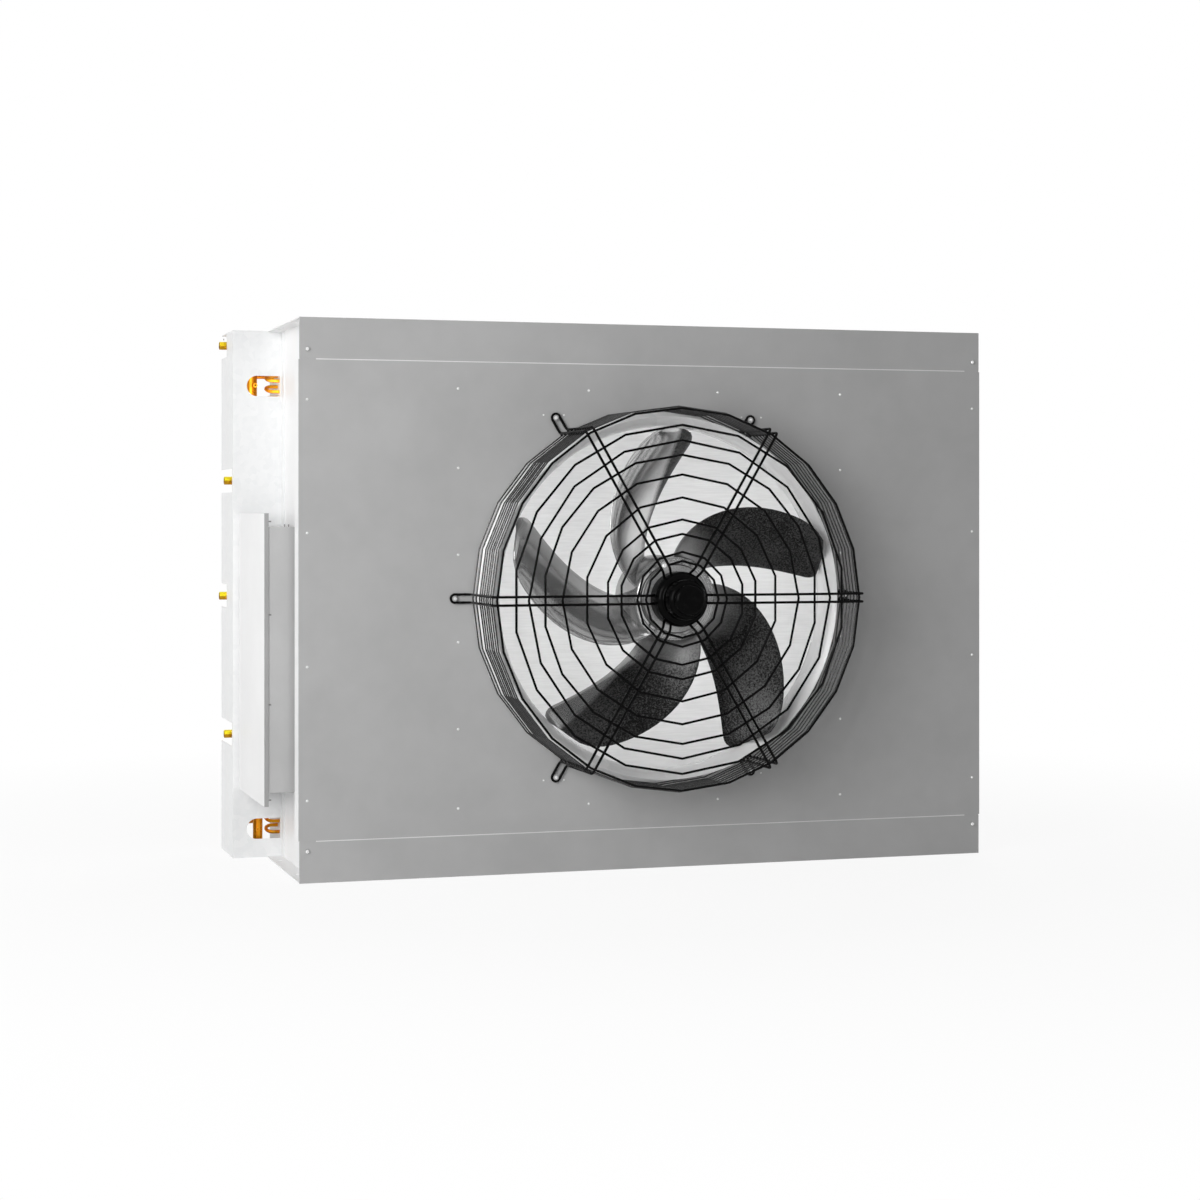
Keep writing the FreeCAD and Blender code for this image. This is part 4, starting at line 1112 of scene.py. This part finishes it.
def add_blade(number):
    mesh = blade_mesh()
    angle = math.radians(first_blade + 360 / blade_count * number)
    turn = Matrix.Rotation(-angle, 3, "Y")
    bmesh.ops.rotate(mesh, verts=mesh.verts, cent=fan_middle, matrix=turn)
    item = to_piece(mesh, "fan_blade_%d" % (number + 1), "fan", blade_alloy,
                    ["fan_impeller"])
    for edge in item.data.edges:
        edge.use_edge_sharp = False
    wall = item.modifiers.new("wall", "SOLIDIFY")
    wall.thickness = blade_wall
    wall.offset = 0
    soft = item.modifiers.new("soft_rim", "BEVEL")
    soft.width = 1.0 * mm
    soft.segments = 2
    soft.limit_method = "ANGLE"
    soft.angle_limit = math.radians(50)
    return item


blades = [add_blade(number) for number in range(blade_count)]
print("blades", len(blades))

# %% [markdown]
# ## Hub and rotor drum
# The blades grow out of a sleeve that is pressed over the motor's turning drum. Both come
# from the lathe: their profiles have softened rims, and the drum is an open cup with a
# groove behind its front rim.

# %% Hub sleeve and drum
hub_profile = [
    (-6, 74.9), (-6, 78.2), (-7, 79.2), (-119, 79.2), (-121, 78.2), (-124, 77.6), (-126, 76.6),
    (-126, 74.9),
]
to_piece(lathe(hub_profile, closed=True), "hub_sleeve", "fan", rotor_alloy)

drum_profile = [
    (-5, 0.0), (-5, 40.0), (-6.5, 42.0), (-6.5, 60.0), (-5, 62.0), (-5, 72.0), (-7, 74.7),
    (-126, 74.7), (-126.8, 73.8), (-127, 71.5), (-127, 64.4), (-126.4, 63.4), (-125, 63.2),
    (-124.4, 64.0), (-124, 70.0), (-14, 70.0), (-10, 66.0), (-10, 0.0),
]
to_piece(lathe(drum_profile), "rotor_drum", "fan", rotor_alloy, ["rotor_shell"])
print("hub and drum made")

# %% [markdown]
# ## The motor's fixed nose
# In front of the drum stands the fixed half of the motor, held by the guard's arms. It is
# a stepped, rounded casting, whose steps come from one profile. Its cap is spun in only
# sixteen steps, so faint flats run round it.

# %% Motor nose and cap
nose_profile = [
    (-131, 0.0), (-131, 49.0), (-132.5, 50.8), (-159, 51.0), (-163, 50.3), (-167, 48.3),
    (-170, 45.6), (-171.5, 43.0), (-171.5, 40.2), (-172.5, 38.8), (-190, 37.6), (-195, 36.2),
    (-199, 33.8), (-201.4, 31.0), (-202, 28.0), (-202, 0.0),
]
to_piece(lathe(nose_profile, 64), "motor_nose", "casing", motor_black,
         ["motor_housing"])

cap_profile = [
    (-202, 0.0), (-202, 28.6), (-203, 29.0), (-208, 29.0), (-210.5, 28.2), (-212.6, 26.4),
    (-214.2, 23.6), (-214.9, 20.0), (-215, 12.0), (-214.4, 10.5), (-214.4, 0.0),
]
to_piece(lathe(cap_profile, 16), "motor_nose_cap", "casing", motor_black,
         ["motor_cap"])
print("motor nose made")

# %% [markdown]
# ## Fins of the coil
# A coil is hundreds of thin aluminium sheets on rows of copper tube. Each fin is a box of
# six faces, so the whole stack stays light.

# %% Fin stack
fin_gap = 2.1 * mm
fin_wall = 0.4 * mm
fin_low, fin_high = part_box("fin_pack")


def fin_stack():
    mesh = bmesh.new()
    wide, deep, tall = (high - low for low, high in zip(fin_low, fin_high))
    count = int(wide / fin_gap)
    for number in range(count):
        across = fin_low[0] + fin_gap * (number + 0.5)
        middle = (across, fin_low[1] + deep / 2, fin_low[2] + tall / 2)
        block(mesh, middle, (fin_wall, deep, tall))
    to_piece(mesh, "coil_fins", "casing", fin_metal, ["fin_pack"])
    return count


print("fins", fin_stack())

# %% [markdown]
# ## Tubes and return bends
# The tubes stand in four rows, and every other row is raised by half a pitch. Inside the
# stack each tube is hidden in the aluminium collars of the fins, so it shows their metal. At
# the left each bend joins a tube to its neighbour in the next row, slanting up, and at the
# right it joins it to the next one up, so the refrigerant climbs in a zigzag. Where a
# header feeds a tube there is no bend, and the photograph shows no rear bends behind the
# two windows. A bend is made once, as a bevelled curve, and then copied.

# %% Coil tubes and return bends
tube_radius = 3.5 * mm
tube_pitch = 21.19 * mm
tube_low = 0.0443
tubes_in_row = 45
first_row = 0.2138
row_gap = 22 * mm
tube_rows = 4
tube_length = 1.2958
sheet_face = 0.648
bend_leg = 13 * mm
bend_runs = 6
rear_bends = range(5, 38)


def tube_place(row, number):
    """Depth and height of one tube of the coil."""
    return first_row + row_gap * row, tube_low + tube_pitch * (number + 0.5 * (row % 2))


def coil_collars():
    mesh = bmesh.new()
    turn = Matrix.Rotation(math.pi / 2, 4, "Y")
    for row in range(tube_rows):
        for number in range(tubes_in_row):
            spot = Matrix.Translation((0, *tube_place(row, number))) @ turn
            bmesh.ops.create_cone(
                mesh, cap_ends=False, segments=12, radius1=tube_radius, radius2=tube_radius,
                depth=tube_length, matrix=spot,
            )
    return to_piece(mesh, "coil_collars", "casing", fin_metal)


coil_collars()


def bend_path(face, sign, first, second):
    """A straight leg, half a turn and a straight leg back to the tube sheet."""
    start = Vector((face, *first))
    end = Vector((face, *second))
    half = (end - start) / 2
    path = [start]
    for step in range(bend_runs + 1):
        angle = math.pi * step / bend_runs
        out = sign * (bend_leg + half.length * math.sin(angle))
        path.append((start + end) / 2 - half * math.cos(angle) + Vector((out, 0, 0)))
    return path + [end]


def bends(name, face, sign, rise, free, node):
    """Bends from row 0 to row 1, which are repeated for every pair of rows."""
    path = bend_path(face, sign, tube_place(0, rise), tube_place(1, 0))
    data = tube_mesh(name + "_curve", path, tube_radius, 8)
    mesh = bmesh.new()
    count = 0
    for pair in range(tube_rows // 2):
        for number in range(tubes_in_row - rise):
            shown = pair == 0 or number in rear_bends
            if (pair, number) in free or not shown:
                continue
            shift = (0, row_gap * 2 * pair, tube_pitch * number)
            stamp(mesh, data, Matrix.Translation(shift))
            count += 1
    to_piece(mesh, name, "casing", copper, [node])
    return count


print("bends can be made")

# %% [markdown]
# ## Which tubes the headers feed
# Two wide headers take the gas from the last row and two narrow ones bring the liquid to
# the first. Each is joined to every other tube along its height, apart from its ends.

# %% Fed tubes and bends
header_lines = {
    "gas": (-0.696, 0.280, 14 * mm, 3),
    "liquid": (-0.691, 0.215, 9.5 * mm, 0),
}


def fed_tubes(kind, level):
    """Numbers of the tubes that one header feeds: every other tube along its height."""
    low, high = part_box("%s_header_%s" % (kind, level))
    row = header_lines[kind][3]
    near_end = 25 * mm
    heights = [(number, tube_place(row, number)[1]) for number in range(2, tubes_in_row, 2)]
    return [number for number, rise in heights if low[2] + near_end < rise < high[2] - near_end]


feeds = [(kind, number) for kind in header_lines for level in ("upper", "lower")
         for number in fed_tubes(kind, level)]
fed = {(header_lines[kind][3] // 2, number) for kind, number in feeds}
made_left = bends("bends_left", -sheet_face, -1, 0, fed, "return_bends_left")
made_right = bends("bends_right", sheet_face, 1, 1, set(), "return_bends_right")
print("tubes", tube_rows * tubes_in_row, "bends", made_left, made_right, "feeds", len(feeds))

# %% [markdown]
# ## Headers
# The headers are copper tubes with domed ends, spun from half of their outline. Behind the
# lower window the narrow one runs on, and the wide one ends: two short tails show that.

# %% Headers
def upright_tube(mesh, x, y, low, high, radius):
    """A closed upright tube with domed ends."""
    dome = radius * 0.35
    half = [(0.0, 0.0), (radius * 0.6, dome * 0.25), (radius * 0.9, dome * 0.65), (radius, dome)]
    outline = [(x + reach, y, low + rise) for reach, rise in half]
    outline += [(x + reach, y, high - rise) for reach, rise in half[::-1]]
    turned(mesh, outline, (x, y, 0), (0, 0, 1), 28)


header_names = ("gas_header_upper", "gas_header_lower", "liquid_header_upper",
                "liquid_header_lower")
for node_name in header_names:
    low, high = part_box(node_name)
    header_mesh = bmesh.new()
    middle_x, middle_y = (low[0] + high[0]) / 2, (low[1] + high[1]) / 2
    upright_tube(header_mesh, middle_x, middle_y, low[2], high[2], (high[0] - low[0]) / 2)
    to_piece(header_mesh, node_name + "_tube", "casing", header_copper, [node_name])
tail_ends = {"liquid": (0.014, 0.062), "gas": (0.054, 0.084)}
tail_mesh = bmesh.new()
for kind, (low, high) in tail_ends.items():
    x, y, header_radius = header_lines[kind][:3]
    upright_tube(tail_mesh, x, y, low, high, header_radius - 0.1 * mm)
to_piece(tail_mesh, "header_tails", "casing", header_copper)
print("headers made")

# %% [markdown]
# ## Stubs and their collars
# Each stub leaves its header through a small brazed collar. The stubs are open tubes, so
# their ends show a thin wall and a dark bore. How far down a point of a stub lies is kept
# in the attribute that the brass finish reads.

# %% Stubs and their collars
stub_radius = 7.94 * mm
stub_bore = 6.9 * mm
stub_end = -0.757
stub_rises = {"gas": (1.006, 0.509), "liquid": (0.737, 0.240)}
collar_radius = 9 * mm
collar_span = (1.5 * mm, -3.5 * mm)
stub_sunk = 2 * mm
# How softly the painted shade on a stub's lower half fades in at its middle height.
underside_shade_blend = 3 * mm


def side_tube(mesh, start, end, y, z, radius, bore):
    """An open tube along X, with softened end rims."""
    profile = ((start, bore), (start, radius), (end + 0.5 * mm, radius),
               (end, radius - 0.4 * mm), (end, bore))
    turned(mesh, [(x, y, z + reach) for x, reach in profile], (0, y, z), (1, 0, 0), 32, True)


def stubs(name, kind, node):
    x, y, header_radius = header_lines[kind][:3]
    wall, rises = x - header_radius, stub_rises[kind]
    mesh = bmesh.new()
    for rise in rises:
        side_tube(mesh, wall + stub_sunk, stub_end, y, rise, stub_radius, stub_bore)
    item = to_piece(mesh, name, "casing", brass, [node])
    # under marks the lower half of each stub, where the brass finish paints shade.
    under = item.data.attributes.new("under", "FLOAT", "POINT")
    for point, value in zip(item.data.vertices, under.data):
        drop = min(rises, key=lambda rise: abs(rise - point.co.z)) - point.co.z
        value.value = max(0.0, min(1.0, 0.5 + drop / underside_shade_blend))
    start, end = (wall + shift for shift in collar_span)
    mesh = bmesh.new()
    for rise in rises:
        side_tube(mesh, start, end, y, rise, collar_radius, stub_radius)
    return to_piece(mesh, name + "_brazing", "casing", brass)


stubs("gas_stub_tubes", "gas", "gas_stubs")
stubs("liquid_stub_tubes", "liquid", "liquid_stubs")
print("stubs made")

# %% [markdown]
# ## Service ports
# A small round port shows on the header in each window. A circle is extruded three times:
# out of the header, in to a smaller mouth, and back down the mouth. Each step has a shift
# and a scale for its ring.

# %% Service ports
port_places = ((-0.6885, 0.270, 0.9275), (-0.6925, 0.2125, 0.0515))
port_radius = 4.2 * mm
port_steps = (((0, -0.011, 0), 1.0), ((0, 0, 0), 0.45), ((0, 0.009, 0), 1.0))
port_mesh = bmesh.new()
for across, back, rise in port_places:
    made = bmesh.ops.create_circle(port_mesh, segments=20, radius=port_radius)["verts"]
    turn = Matrix.Translation((across, back, rise)) @ Matrix.Rotation(math.pi / 2, 4, "X")
    bmesh.ops.transform(port_mesh, matrix=turn, verts=made)
    rims = list({edge for vert in made for edge in vert.link_edges})
    for shift, reach in port_steps:
        grown = bmesh.ops.extrude_edge_only(port_mesh, edges=rims)["geom"]
        points = points_of(grown)
        rims = [item for item in grown if isinstance(item, bmesh.types.BMEdge)
                and all(vert in points for vert in item.verts)]
        middle = Matrix.Translation((-across, 0, -rise))
        bmesh.ops.translate(port_mesh, verts=points, vec=shift)
        bmesh.ops.scale(port_mesh, vec=(reach, 1, reach), space=middle, verts=points)
to_piece(port_mesh, "service_ports", "casing", copper)
print("service ports made")

# %% [markdown]
# ## Feeder tubes
# A short tube joins each fed tube of the coil to its header. They are the stubs' open
# tubes at a smaller size.

# %% Feeder tubes
feeder_bore = 2.6 * mm
feeder_mesh = bmesh.new()
for kind, number in feeds:
    x, y, header_radius, row = header_lines[kind]
    rise = tube_place(row, number)[1]
    start, end = -sheet_face - 0.2 * mm, x + header_radius - 2 * mm
    side_tube(feeder_mesh, start, end, y, rise, tube_radius, feeder_bore)
to_piece(feeder_mesh, "feeder_set", "casing", copper, ["feeder_tubes"])
print("feeders made")
